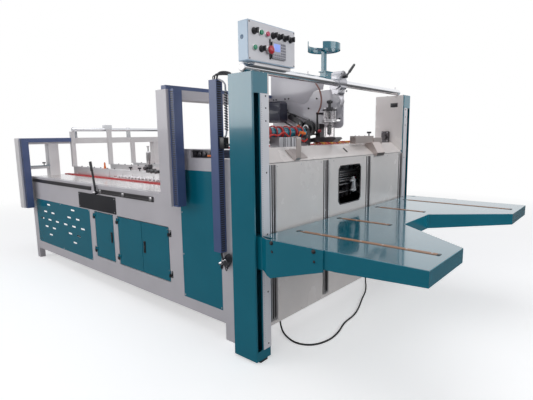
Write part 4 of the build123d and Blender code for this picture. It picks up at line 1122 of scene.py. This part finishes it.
@dataclass
class TubeAndStand(SubAssembly):
    """Cross tube, its clamp with a lever, and the bottle stand.

    Args:
        axis: Height of the tube's middle line.
        place: Middle of the tube behind the column face.
    """

    axis: float = 1522.0
    place: float = 60.0
    finishes = {"cross_tube": CHROME, "tube_clamp": CAST, "clamp_lever": BLACK, "bottle_stand": TEAL}

    def build(self, shop: Workshop, patterns: PatternLibrary) -> None:
        """Adds pins, clamp bolts and stand screws.

        Args:
            shop: Source of materials.
            patterns: Source of repeated pieces.
        """
        pins = MeshKit()
        for x in (-399, 782):
            pins.rod((x, self.place, self.axis + 20), (x, self.place, self.axis + 38), 4.5)
        pins.piece("tube_pins", shop, STEEL)
        patterns.heads("clamp_bolts", Head.SOCKET, 5.5, FRONT,
                       [(x, 17, z) for x in (-98, -42) for z in (1470, 1574)], STEEL)
        patterns.heads("stand_screws", Head.SOCKET, 3.6, UP, [(x, y, 1548) for x in (-236, -190) for y in (38, 84)],
                       STEEL)
        caps = MeshKit()
        cap = [(-2, 17.8), (0, 17.8), (0, 21), (2, 21.5), (5, 20), (7, 14)]
        for x, way in ((-940, LEFT), (830, (1, 0, 0))):
            caps.turned(spot(x, self.place, self.axis), way, cap)
        caps.piece("tube_end_caps", shop, ALU)


@dataclass
class GlueUnit(SubAssembly):
    """Glue plate with its pot, motor, belt drive, feed roller and shoe.

    Args:
        face: Outer face of the plate across.
        pot: Middle of the pot as across and along.
        pulley: Middle of the large pulley as along and height.
    """

    face: float = -28.0
    pot: Span = (-88.0, 110.0)
    pulley: Span = (299.0, 1242.0)
    finishes = {"glue_plate": PLATE, "drive_motor": MOTOR, "drive_belt": BLACK, "drive_pulleys": BLACK,
                "glue_pot": BLACK, "feed_roller": TEAL, "roller_bearing": DARK, "feed_shoe": DARK}

    def _pot(self, shop: Workshop) -> None:
        """Makes the glass pot with its metal rings, rod and cap.

        Args:
            shop: Source of materials.
        """
        x, y = self.pot
        foot = spot(x, y, 1182)
        MeshKit().turned(foot, UP, [(2, 27), (0, 31), (3, 34), (86, 34), (93, 33)], 40).piece(
            "pot_lower_glass", shop, GLASS, replaces=("glue_pot",))
        MeshKit().turned(spot(x, y, 1297), UP, [(0, 38), (52, 38)], 40).piece("pot_upper_glass", shop, GLASS)
        rings = MeshKit()
        rings.turned(spot(x, y, 1274), UP, [(0, 34), (1, 44), (3, 46), (9, 46), (11, 40), (14, 40), (16, 46), (21, 46),
                                            (23, 42)], 40)
        rings.slab((x + 36, self.face + 1), (y - 14, y + 14), (1277, 1294), 1.5)
        rings.piece("pot_rings", shop, STEEL)
        black = MeshKit()
        black.turned(spot(x, y, 1349), UP, [(0, 40), (1, 45), (10, 45), (12, 30), (13, 22)], 40)
        black.turned(spot(x, y, 1196), UP, [(0, 4), (4, 10), (60, 10), (64, 5), (150, 5)], 24)
        black.turned(spot(x, y, 1361), UP, [(0, 22), (10, 22), (12, 10), (36, 10)], 30)
        for step in range(5):
            angle = math.radians(step * 72)
            black.turned(spot(x + 11 * math.cos(angle), y + 11 * math.sin(angle), 1397), UP,
                         [(0, 7), (2, 9), (14, 9), (17, 6)], 16)
        black.turned(spot(x, y, 1397), UP, [(0, 12), (18, 12), (21, 8)], 24)
        black.piece("pot_rod_and_knob", shop, BLACK)
        bolts = MeshKit()
        for step in range(3):
            angle = math.radians(40 + step * 120)
            bx, by = x + 40 * math.cos(angle), y + 40 * math.sin(angle)
            bolts.rod((bx, by, 1276), (bx, by, 1366), 3.0)
            bolts.turned(spot(bx, by, 1362), UP, [(0, 6), (1, 6, 6), (6, 6, 6), (7, 4)], 18)
        bolts.piece("pot_tie_rods", shop, STEEL)

    def _drive(self, shop: Workshop, patterns: PatternLibrary) -> None:
        """Adds pulley faces, the motor's fins and the fittings round them.

        Args:
            shop: Source of materials.
            patterns: Source of repeated pieces.
        """
        y, z = self.pulley
        hub = MeshKit()
        hub.turned(spot(-88, y, z), LEFT, [(0, 25), (3, 25), (4, 24), (4, 19), (1, 18.5)], 40)
        hub.turned(spot(-72, 437, 1325), LEFT, [(0, 9), (4, 9), (5, 7)], 24)
        hub.turned(spot(-72, 545, 1345), LEFT, [(0, 13), (4, 13), (5, 11)], 24)
        hub.piece("pulley_hubs", shop, STEEL)
        MeshKit().turned(spot(-88, y, z), LEFT, [(1, 18.3), (2.5, 18), (3, 10), (6, 9), (7, 7)], 40).piece(
            "pulley_core", shop, BLACK)
        patterns.heads("pulley_bolts", Head.SOCKET, 4.5, LEFT,
                       [(-95, y, z), (-76, 437, 1325), (-76, 545, 1345), (-90, 345, 1278)], STEEL)
        bracket = MeshKit()
        bracket.slab((-100, -90), (196, 206), (1196, 1344), 1.2)
        bracket.slab((-100, -30), (196, 208), (1330, 1344), 1.2)
        bracket.slab((-100, -90), (196, 262), (1196, 1208), 1.2)
        bracket.piece("sensor_bracket", shop, BLACK)
        MeshKit().ball((-102, 178, 1222), 12).piece("red_fitting", shop, RED)
        MeshKit().rod((-92, 350, 1262), (-92, 386, 1240), 9, 2).piece("orange_fitting", shop, ORANGE)
        MeshKit().hose([(-92, 380, 1240), (-110, 420, 1215), (-128, 400, 1180), (-150, 340, 1168)], 4.0).piece(
            "red_air_hose", shop, RED)
        MeshKit().hose([(-32, 240, 1545), (-70, 236, 1554), (-90, 215, 1530), (-94, 186, 1490), (-96, 170, 1437),
                        (-98, 172, 1385), (-96, 194, 1340)], 5.5, 12).piece("glue_hose", shop, HOSE)
        fins = MeshKit()
        for step in range(9):
            fins.slab((-160, -82), (474 + step * 16, 478 + step * 16), (1288, 1432), 0.6)
        fins.slab((-164, -156), (462, 636), (1300, 1420), 2.0)
        fins.piece("motor_fins", shop, MOTOR)
        wing = MeshKit().plate([(52, 1452), (24, 1440), (18, 1404), (40, 1366), (58, 1380), (44, 1410), (60, 1428)],
                               (-62, -58), 1.0)
        wing.piece("pot_wing", shop, CAST)

    def _roller(self, shop: Workshop) -> None:
        """Adds the red bands and cords of the feed roller.

        Args:
            shop: Source of materials.
        """
        bands = MeshKit()
        for x in (-560, -440, -300):
            bands.turned(spot(x - 9, 250, 1212), (1, 0, 0), [(0, 39.4), (1, 41), (17, 41), (18, 39.4)], 48)
        bands.piece("roller_bands", shop, BELT, Body.ROLLER)
        cords = MeshKit()
        for x in (-705, -640, -500, -372, -240):
            ring = [(x + 3 * math.sin(math.radians(a)), 250 + 40 * math.cos(math.radians(a)),
                     1212 + 40 * math.sin(math.radians(a))) for a in range(0, 391, 30)]
            cords.hose(ring, 4.5, 8, 3)
        cords.piece("roller_cords", shop, RED_RUBBER, Body.ROLLER)
        rail = MeshKit().slab((-817, -182), (186, 194), (1148, 1168), 1.0)
        for x in (-640, -430, -330, -240):
            rail.slab((x - 11, x + 11), (180, 186.5), (1142, 1196), 2.0)
            rail.rod((x, 183, 1190), (x, 208, 1190), 5)
        rail.piece("guide_rail", shop, BLACK)
        hoses = MeshKit().hose([(-640, 178, 1180), (-585, 176, 1200), (-530, 178, 1196), (-480, 176, 1214),
                                (-430, 178, 1186)], 5.5, 10)
        hoses.hose([(-430, 176, 1160), (-385, 172, 1150), (-330, 174, 1168), (-280, 172, 1158),
                    (-240, 178, 1172)], 5.0, 10)
        hoses.piece("guide_hoses", shop, RED_RUBBER)
        MeshKit().rod((-318, 176, 1214), (-262, 180, 1206), 9, 2).rod((-330, 183, 1190), (-312, 178, 1212), 4).piece(
            "guide_fitting", shop, ORANGE)

    def build(self, shop: Workshop, patterns: PatternLibrary) -> None:
        """Adds the pot, the drive's fittings, the roller's cords and the plate's screws.

        Args:
            shop: Source of materials.
            patterns: Source of repeated pieces.
        """
        self._pot(shop)
        bearing = MeshKit().turned(spot(793, 142, 1176), LEFT, [(0, 26), (2, 26), (3, 20), (-2, 18), (-2, 12), (5, 11),
                                                               (6, 9)], 30)
        bearing.piece("bearing_hub", shop, DARK)
        # Painted shade: a thin black sheet at the back of the side slot.
        MeshKit().slab((818, 820), (52, 112), (1410, 1442), 0.5).piece("side_slot_back", shop, BLACK)
        patterns.heads("bearing_bolts", Head.SOCKET, 4.5, LEFT, [(793, 142 + dy, 1176 + dz) for dy in (-23, 23)
                                                                 for dz in (-33, 33)], STEEL)
        self._drive(shop, patterns)
        self._roller(shop)
        cover = [(655, 1640), (655, 1438), (471, 1434), (357, 1411), (322, 1430), (276, 1490), (200, 1496), (188, 1566)]
        MeshKit().plate(cover, (self.face - 2.5, self.face), 0.4).piece("plate_cover", shop, PLATE)
        patterns.heads("plate_cover_screws", Head.SOCKET, 5.0, LEFT,
                       [(self.face - 2.5, y, 1455) for y in (628, 604, 521, 489)], BLACK)
        patterns.heads("plate_bolts", Head.SOCKET, 5.5, LEFT,
                       [(self.face, y, z) for y, z in ((503, 1377), (317, 1379), (311, 1298), (250, 1440), (70, 1300))],
                       BLACK)
        strands = {RED_RUBBER: 0.0, ORANGE: 120.0, YELLOW: 240.0}
        for number, (finish, start) in enumerate(strands.items()):
            line = [(-120 + 12 * step, 205 + 6 * math.cos(math.radians(start + 40 * step)),
                     1143 + 6 * math.sin(math.radians(start + 40 * step))) for step in range(54)]
            MeshKit().hose(line, 4.2, 8, 2).piece(f"twisted_belt_{number}", shop, finish)


@dataclass
class SideFrames(SubAssembly):
    """Side frames with their doors, covers, vents, hinges and rims.

    Args:
        hinges: Middle of each hinge row along, and the side of it on which the leaves lie.
        hinge_z: Heights of the hinges.
    """

    hinges: tuple[tuple[float, int], ...] = ((838.0, -1), (1506.0, 1), (1878.0, 1))
    hinge_z: Span = (295.0, 574.0)
    finishes = {"side_frame_left": WHITE, "side_frame_right": WHITE, "side_covers": TEAL, "vent_panels": TEAL,
                "door_front": TEAL, "door_rear": TEAL, "door_single": TEAL, "door_hinges": BLACK, "unit_rims": WHITE,
                "latch_front": BLACK, "latch_single": BLACK, "cross_beams": WHITE}

    def build(self, shop: Workshop, patterns: PatternLibrary) -> None:
        """Adds hinge leaves, screws, latch pulls and what shows in the rim's pocket.

        Args:
            shop: Source of materials.
            patterns: Source of repeated pieces.
        """
        leaves, screws = MeshKit(), []
        for y, side in self.hinges:
            for z in self.hinge_z:
                leaves.slab((-848.5, -847), (y + side * 4 - 7, y + side * 4 + 7), (z - 22, z + 22), 0.4)
                screws += [(-848.5, y + side * 6, z + dz) for dz in (-14, 14)]
        leaves.piece("hinge_leaves", shop, BLACK)
        patterns.heads("hinge_screws", Head.DOME, 2.6, LEFT, screws, STEEL)
        for y, body, name in ((1148, Body.DOOR_FRONT, "front"), (1600, Body.DOOR_SINGLE, "single")):
            pull = MeshKit().slab((-852.5, -849.5), (y - 8, y + 8), (402, 440), 1.2)
            pull.turned(spot(-850, y, 455), LEFT, [(0, 6), (2, 6), (3, 5)], 20)
            pull.piece(f"latch_pull_{name}", shop, DARK, body)
        edges = [(-847, y, z) for y in (1952, 2500, 3048) for z in (192, 604)]
        patterns.heads("vent_screws", Head.DOME, 4.0, LEFT, edges, STEEL)
        cover = [(-847, y, z) for y in (362, 704) for z in (190, 460, 730, 985)]
        patterns.heads("cover_screws", Head.DOME, 4.0, LEFT, cover, STEEL)
        opposite = [(847, y, z) for _, y, z in edges + cover]
        patterns.heads("right_cover_screws", Head.DOME, 4.0, (1, 0, 0), opposite, STEEL)
        frame_bolts = [(-847, y, z) for y, z in ((3004, 800), (2859, 794), (820, 790), (820, 1040), (735, 1040))]
        patterns.heads("frame_bolts", Head.HEX, 5.5, LEFT, frame_bolts, STEEL)
        pocket = MeshKit().slab((-834, -831), (374, 592), (1073, 1117), 0.4)
        for step in range(5):
            y = 398 + 42 * step
            pocket.turned(spot(-834, y, 1094), LEFT, [(0, 15), (7, 15), (8, 12), (8, 7), (11, 6)], 20)
        pocket.slab((-846, -840), (380, 586), (1108, 1113), 1.0)
        pocket.piece("pocket_works", shop, DARK)
        MeshKit().rod((-842, 410, 1086), (-842, 446, 1086), 6).piece("pocket_orange", shop, ORANGE)
        feet = MeshKit()
        for x in (-822, 822):
            for y in (270, 3117):
                feet.slab((x - 23, x + 23), (y - 23, y + 23), (0, 19), 1.5)
        feet.piece("levelling_feet", shop, BLACK)


@dataclass
class Gantries(SubAssembly):
    """Near and far wiring gantries with their ducts and the upper tube.

    Args:
        slotted: Name, middle, number of slots and turn of each duct face that shows its slots.
        slot_pitch: Distance between two slots.
    """

    slotted: tuple[tuple[str, Point, int, Point], ...] = (
        ("near", (-947.3, 623.0, 1126.5), 53, (90.0, 0.0, 90.0)),
        ("far", (-947.3, 3024.0, 868.0), 53, (90.0, 0.0, 90.0)),
        ("side", (-873.0, 303.7, 1020.0), 75, (90.0, 0.0, 0.0)))
    slot_pitch: float = 12.5
    finishes = {"near_gantry": WHITE, "far_gantry": PALE, "wiring_ducts": DUCT, "upper_tube": CHROME}

    def build(self, shop: Workshop, patterns: PatternLibrary) -> None:
        """Adds conduits, connectors, cables, black bars of painted shade in the ducts' slots and the cover of the tie.

        Args:
            shop: Source of materials.
            patterns: Source of repeated pieces.
        """
        ends = MeshKit()
        for index, (cy, cz) in enumerate(((322, 1495), (340, 1495), (352, 1495))):
            ends.hose([(-870, cy, cz - 60), (-870, cy, cz), (-872 - index * 3, cy - 26, cz + 34 - index * 6),
                       (-870, 220 - index * 10, cz + 24 - index * 8), (-868, 168, cz - 24 - index * 12)], 5.0 - index)
        ends.piece("column_conduits", shop, CABLE)
        box = MeshKit().slab((-886, -850), (262, 300), (1128, 1190), 2.0)
        box.turned(spot(-868, 262, 1150), FRONT, [(0, 9), (10, 9), (12, 6), (22, 6)], 20)
        box.hose([(-868, 241, 1150), (-868, 215, 1140), (-866, 190, 1100), (-864, 168, 1092)], 4.5)
        box.hose([(-868, 298, 1172), (-868, 306, 1172)], 6.0)
        box.piece("duct_connectors", shop, BLACK)
        loose = MeshKit()
        for index in range(5):
            shift = index * 5.0
            loose.hose([(-872 + shift * 0.6, 318 + shift * 1.6, 560), (-872 + shift * 0.5, 316 + shift, 520),
                        (-868, 286 + shift, 486 - shift), (-866, 250 + shift * 2, 500 - shift * 3),
                        (-866, 262 + shift, 540 - shift), (-862, 300, 520 - shift), (-856, 330 + shift, 470 - shift),
                        (-850, 345, 452 - shift)], 3.6 - index * 0.25)
        loose.piece("cable_loops", shop, CABLE)
        MeshKit().hose([(-872, 306, 1496), (-872, 264, 1474), (-872, 254, 1430), (-872, 254, 1228), (-872, 270, 1188)],
                       5.0, 12).piece("wrapped_cable", shop, PALE_KEY)
        patterns.coil("cable_wrap", 15.0, 7.0, 205.0, 3.4, (-872, 254, 1226), (0, 0, 0), CABLE)
        # Painted shade: black bars on the duct faces stand in for the shaded openings of the slots.
        for name, (x, y, z), count, turn in self.slotted:
            patterns.grid(f"duct_slots_{name}", (2, count), (14, (count - 1) * self.slot_pitch), (14, 7, 0.8),
                          (x, y, z), turn, BLACK)
        plugs = MeshKit()
        for index, z in enumerate((478, 500)):
            plugs.turned(spot(-862, 330 - index * 34, z), (0, 1, -0.5), [(0, 8), (4, 10), (22, 10), (26, 6)], 20)
        plugs.piece("cable_plugs", shop, CHROME)
        tie = MeshKit().slab((-873, -690), (3036, 3104), (933.5, 936.5), 0.6)
        tie.piece("gantry_tie_cover", shop, TEAL)


@dataclass
class FoldingSection(SubAssembly):
    """Table with its belts, folding beams and the fittings on them.

    Args:
        beam_x: Middle of the left beam across.
        beam_top: Height of the beams' upper face.
    """

    beam_x: float = -446.0
    beam_top: float = 905.0
    finishes = {"table_sheet": TABLE, "feed_bed": ALU, "red_belts": BELT, "folding_beams": ALU,
                "pressing_blocks": CAST, "star_knobs": BLACK, "slot_rails": DARK}

    def build(self, shop: Workshop, patterns: PatternLibrary) -> None:
        """Adds the upright cylinder, the clamps, the cone and the bolts of the beams.

        Args:
            shop: Source of materials.
            patterns: Source of repeated pieces.
        """
        x, top = self.beam_x, self.beam_top
        post = [(0, 17), (8, 17), (10, 9), (60, 9), (62, 16), (66, 18), (168, 18), (172, 14), (180, 7), (214, 7),
                (216, 12), (222, 12)]
        MeshKit().turned(spot(x, 1655, top), UP, post, 30).piece("press_cylinder", shop, STEEL)
        clamps = MeshKit()
        for y, tall in ((1655, 150), (1600, 74), (1560, 58), (1500, 62)):
            clamps.slab((x - 24, x + 24), (y - 17, y + 17), (top, top + tall * 0.45), 3.0)
            clamps.turned(spot(x - 24, y, top + tall * 0.25), LEFT, [(0, 6), (12, 6), (12, 14), (20, 16), (26, 12)], 18)
        clamps.piece("beam_clamps", shop, DARK)
        cone = [(0, 20), (6, 20), (8, 12), (40, 7), (44, 9), (64, 5)]
        MeshKit().turned(spot(x, 2397, top), UP, cone, 28).piece("beam_cone", shop, ORANGE)
        MeshKit().turned(spot(x, 2397, top), UP, [(0, 24), (4, 24), (5, 21)], 28).piece("beam_cone_foot", shop, BLACK)
        bolts = [(place, y, 911) for place in (-446, -35, 250) for y in range(1700, 3000, 130)
                 if not (place == -446 and y < 2100)]
        patterns.heads("beam_bolts", Head.HEX, 6.0, UP, bolts, BLACK)
        patterns.heads("table_screws", Head.DOME, 4.0, UP,
                       [(side * 780, y, 830) for side in (-1, 1) for y in range(880, 3100, 185)], STEEL)
        patterns.grid("belt_lacing", (1, 1), (0, 0), (30, 6, 1.0), (-560, 1105, 832), (0, 0, 0), STEEL)
        edge = MeshKit()
        for y in (1035, 1390, 1725):
            edge.slab((-857, -847), (y - 14, y + 14), (768, 797), 1.5)
        edge.piece("slot_rail_ends", shop, STEEL)


@dataclass
class SignAndLever(SubAssembly):
    """Bare plate and hand lever on the left side frame.

    Args:
        corner_y: Screws of the plate along.
        corner_z: Screws of the plate in height.
    """

    corner_y: Span = (1524.0, 2096.0)
    corner_z: Span = (636.0, 738.0)
    finishes = {"sign_plate": BLACK, "side_lever": BLACK}

    def build(self, shop: Workshop, patterns: PatternLibrary) -> None:
        """Adds the plate's screws and the lever's pivot and grip.

        Args:
            shop: Source of materials.
            patterns: Source of repeated pieces.
        """
        patterns.heads("plate_corner_screws", Head.DOME, 4.0, LEFT,
                       [(-851, y, z) for y in self.corner_y for z in self.corner_z], STEEL)
        MeshKit().turned(spot(-873, 1780, 770), LEFT, [(0, 14), (3, 14), (4, 11, 6), (12, 11, 6), (13, 9)], 24).piece(
            "lever_pivot", shop, STEEL)
        MeshKit().rod((-866, 1812, 940), (-866, 1826.5, 1014), 9.5, 3.0).piece("lever_grip", shop, BLACK)


SUB_ASSEMBLIES: tuple[type[SubAssembly], ...] = (
    LiftColumns, LiftPlatform, FrontPanels, Console, TubeAndStand, GlueUnit, SideFrames, Gantries, FoldingSection,
    SignAndLever)


@dataclass
class PowerCord:
    """Free cord that lies in a curve on the floor below the front.

    Args:
        diameter: Diameter of the cord in metres.
        length: Length along its centre line in metres.
        gland_low: Height where both ends enter the trunk.
        shift: Distance in Y from the column face to the frame's origin.
        floor: Height of the centre line where the cord lies on the floor.
    """

    diameter: float = 0.011
    # length: Length along its centre line in metres; not used.
    length: float = 1.845
    gland_low: float = 0.149
    shift: float = -1.1425
    floor: float = 0.006

    def build(self, shop: Workshop) -> None:
        """Args:
            shop: Source of materials.
        """
        z, top = self.floor, self.gland_low
        route = [(x, y + self.shift, height) for x, y, height in (
            (-.505, .205, top), (-.505, .205, .078), (-.535, .165, z), (-.595, .085, z), (-.632, -.020, z),
            (-.590, -.110, z), (-.480, -.150, z), (-.355, -.140, z), (-.215, -.095, z), (-.080, -.092, z),
            (.065, -.050, z), (.205, .005, z), (.345, .050, z), (.470, .110, z), (.570, .170, z),
            (.640, .205, .078), (.640, .205, top))]
        curve = bpy.data.curves.new("floor_cord", "CURVE")
        curve.dimensions = "3D"
        curve.bevel_depth = self.diameter / 2
        curve.bevel_resolution = 6
        spline = curve.splines.new("NURBS")
        spline.points.add(len(route) - 1)
        for point, place in zip(spline.points, route):
            point.co = (*place, 1)
        spline.order_u = 3
        spline.use_endpoint_u = True
        spline.resolution_u = 12
        cord = linked(bpy.data.objects.new("floor_cord", curve))
        curve.materials.append(shop.material(CORD))
        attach(cord, Body.FRAME.value)
        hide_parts("power_cord")
        log.info("built floor_cord")


@dataclass
class Studio:
    """Camera, floor, world and lamps.

    Args:
        lens: Focal length in millimetres for a 36 mm sensor.
        place: Camera position in the frame.
        yaw: Heading in degrees from +Y, clockwise seen from above when negative to the left.
        pitch: Degrees that the camera looks down.
        roll: Degrees that the picture is turned.
        sky: Strength of the even light from all around.
        floor_lift: Brightness that the floor gains for the camera alone.
        fade: Distances in metres between which the floor turns white for the camera.
        horizon: Heights on the sky's scale from 0 to 1, with the brightness that reflections show there.
        nadir: Colour that reflections show straight down.
        zenith: Colour that reflections show straight up.
        sky_colour: Colour of the even light.
        floor_half: Half the side of the floor in metres.
        lamps: Name, place, target, size and watts of each lamp.
    """

    lens: float = 28.06
    place: Point = (-2.4287, -2.5257, 1.1902)
    yaw: float = -48.843
    pitch: float = 8.668
    roll: float = -0.782
    sky: float = 0.22
    floor_lift: float = 0.46
    fade: Span = (2.6, 6.5)
    horizon: tuple[Span, ...] = ((0.44, 0.12), (0.495, 0.20), (0.525, 0.95), (0.70, 1.0))
    nadir: Colour = (0.10, 0.10, 0.105, 1)
    zenith: Colour = (0.62, 0.64, 0.68, 1)
    sky_colour: Colour = (0.88, 0.91, 1.0, 1)
    floor_half: float = 14.0
    lamps: tuple[tuple[str, Point, Point, Span, float], ...] = (
        ("top_lamp", (-0.5, 0.0, 5.0), (0.0, 0.0, 0.5), (5.0, 5.0), 70.0),
        ("side_lamp", (-5.5, 3.4, 2.45), (-1.5, 0.6, 1.2), (3.6, 2.2), 80.0),
        ("left_lamp", (-5.8, -2.6, 3.4), (0.0, 0.0, 0.6), (2.6, 2.6), 38.0),
        ("front_lamp", (0.8, -6.0, 2.8), (0.0, 0.0, 0.7), (3.5, 3.0), 84.0))

    def camera(self) -> None:
        """Places the camera as the photograph was taken."""
        yaw, pitch, roll = (math.radians(angle) for angle in (-self.yaw, self.pitch, self.roll))
        ahead = Vector((math.sin(yaw) * math.cos(pitch), math.cos(yaw) * math.cos(pitch), -math.sin(pitch)))
        right = ahead.cross(Vector((0, 0, 1))).normalized()
        down = ahead.cross(right)
        side = math.cos(roll) * right - math.sin(roll) * down
        low = math.sin(roll) * right + math.cos(roll) * down
        turn = Matrix((side, -low, -ahead)).transposed().to_4x4()
        data = bpy.data.cameras.new("photo_camera")
        data.lens = self.lens
        data.sensor_width = 36.0
        data.clip_start, data.clip_end = 0.05, 60.0
        camera = linked(bpy.data.objects.new("photo_camera", data))
        camera.matrix_world = Matrix.Translation(self.place) @ turn
        bpy.context.scene.camera = camera

    def floor(self) -> None:
        """Pale floor that takes a soft shadow and turns white far from the machine."""
        half = self.floor_half
        mesh = bpy.data.meshes.new("studio_floor")
        mesh.from_pydata([(-half, -half, 0), (half, -half, 0), (half, half, 0), (-half, half, 0)], [], [(0, 1, 2, 3)])
        floor = linked(bpy.data.objects.new("studio_floor", mesh))
        material = bpy.data.materials.new("pale_floor")
        material.use_nodes = True
        tree = material.node_tree
        shader = tree.nodes["Principled BSDF"]
        seen = node(tree, "ShaderNodeLightPath").outputs["Is Camera Ray"]
        fill(tree, shader, {"Base Color": (0.90, 0.90, 0.90, 1), "Roughness": 0.8, "Emission Color": (1, 1, 1, 1),
                            "Emission Strength": product(tree, seen, self.floor_lift)})
        place = node(tree, "ShaderNodeTexCoord").outputs["Object"]
        away = node(tree, "ShaderNodeVectorMath", {0: place}, operation="LENGTH").outputs["Value"]
        white = product(tree, seen, span_map(tree, away, From_Min=self.fade[0], From_Max=self.fade[1]))
        glow = node(tree, "ShaderNodeEmission").outputs["Emission"]
        mixed = node(tree, "ShaderNodeMixShader", {"Fac": white, 1: shader.outputs["BSDF"], 2: glow}).outputs["Shader"]
        fill(tree, tree.nodes["Material Output"], {"Surface": mixed})
        mesh.materials.append(material)
        floor.visible_glossy = False

    def world(self) -> None:
        """White behind the object for the camera, a soft sky for light and a graded sky in reflections."""
        world = bpy.data.worlds.new("studio_world")
        bpy.context.scene.world = world
        world.use_nodes = True
        tree = world.node_tree
        tree.nodes.clear()
        rays = node(tree, "ShaderNodeLightPath").outputs
        ahead = node(tree, "ShaderNodeTexCoord").outputs["Generated"]
        height = span_map(tree, node(tree, "ShaderNodeSeparateXYZ", {"Vector": ahead}).outputs["Z"], From_Min=-1.0)
        ramp = node(tree, "ShaderNodeValToRGB", {"Fac": height})
        for element, colour in zip(ramp.color_ramp.elements, (self.nadir, self.zenith)):
            element.color = colour
        for position, shade in self.horizon:
            ramp.color_ramp.elements.new(position).color = (shade, shade * 1.01, shade * 1.03, 1)
        even, white, graded = (
            node(tree, "ShaderNodeBackground", {"Color": colour, "Strength": strength}).outputs["Background"]
            for colour, strength in ((self.sky_colour, self.sky), ((1, 1, 1, 1), 1.0), (ramp.outputs["Color"], 1.0)))
        seen = node(tree, "ShaderNodeMath", {0: rays["Is Camera Ray"], 1: rays["Is Transmission Ray"]},
                    operation="MAXIMUM").outputs["Value"]
        lit = node(tree, "ShaderNodeMixShader", {"Fac": rays["Is Glossy Ray"], 1: even, 2: graded}).outputs["Shader"]
        shown = node(tree, "ShaderNodeMixShader", {"Fac": seen, 1: lit, 2: white}).outputs["Shader"]
        node(tree, "ShaderNodeOutputWorld", {"Surface": shown})

    def lamp(self, name: str, place: Point, target: Point, size: Span, watts: float) -> None:
        """Adds one large soft lamp.

        Args:
            name: Name of the lamp.
            place: Where it stands.
            target: Point that it faces.
            size: Width and height of its face.
            watts: Its power.
        """
        data = bpy.data.lights.new(name, "AREA")
        data.shape = "RECTANGLE"
        data.size, data.size_y = size
        data.energy = watts
        lamp = linked(bpy.data.objects.new(name, data))
        aim = (Vector(target) - Vector(place)).to_track_quat("-Z", "Y").to_matrix().to_4x4()
        lamp.matrix_world = Matrix.Translation(place) @ aim

    def build(self) -> None:
        """Sets up the whole studio."""
        self.camera()
        self.floor()
        self.world()
        for lamp in self.lamps:
            self.lamp(*lamp)
        bpy.context.scene.view_settings.view_transform = "Standard"


def main() -> None:
    """Builds the studio and dresses the machine."""
    logging.basicConfig(level=logging.INFO, format="%(message)s")
    shop = Workshop()
    Studio().build()
    patterns = PatternLibrary(shop)
    shop.dress("power_cord", CORD)
    for kind in SUB_ASSEMBLIES:
        part = kind()
        part.dress(shop)
        part.build(shop, patterns)
    PowerCord().build(shop)


if __name__ == "__main__":
    main()
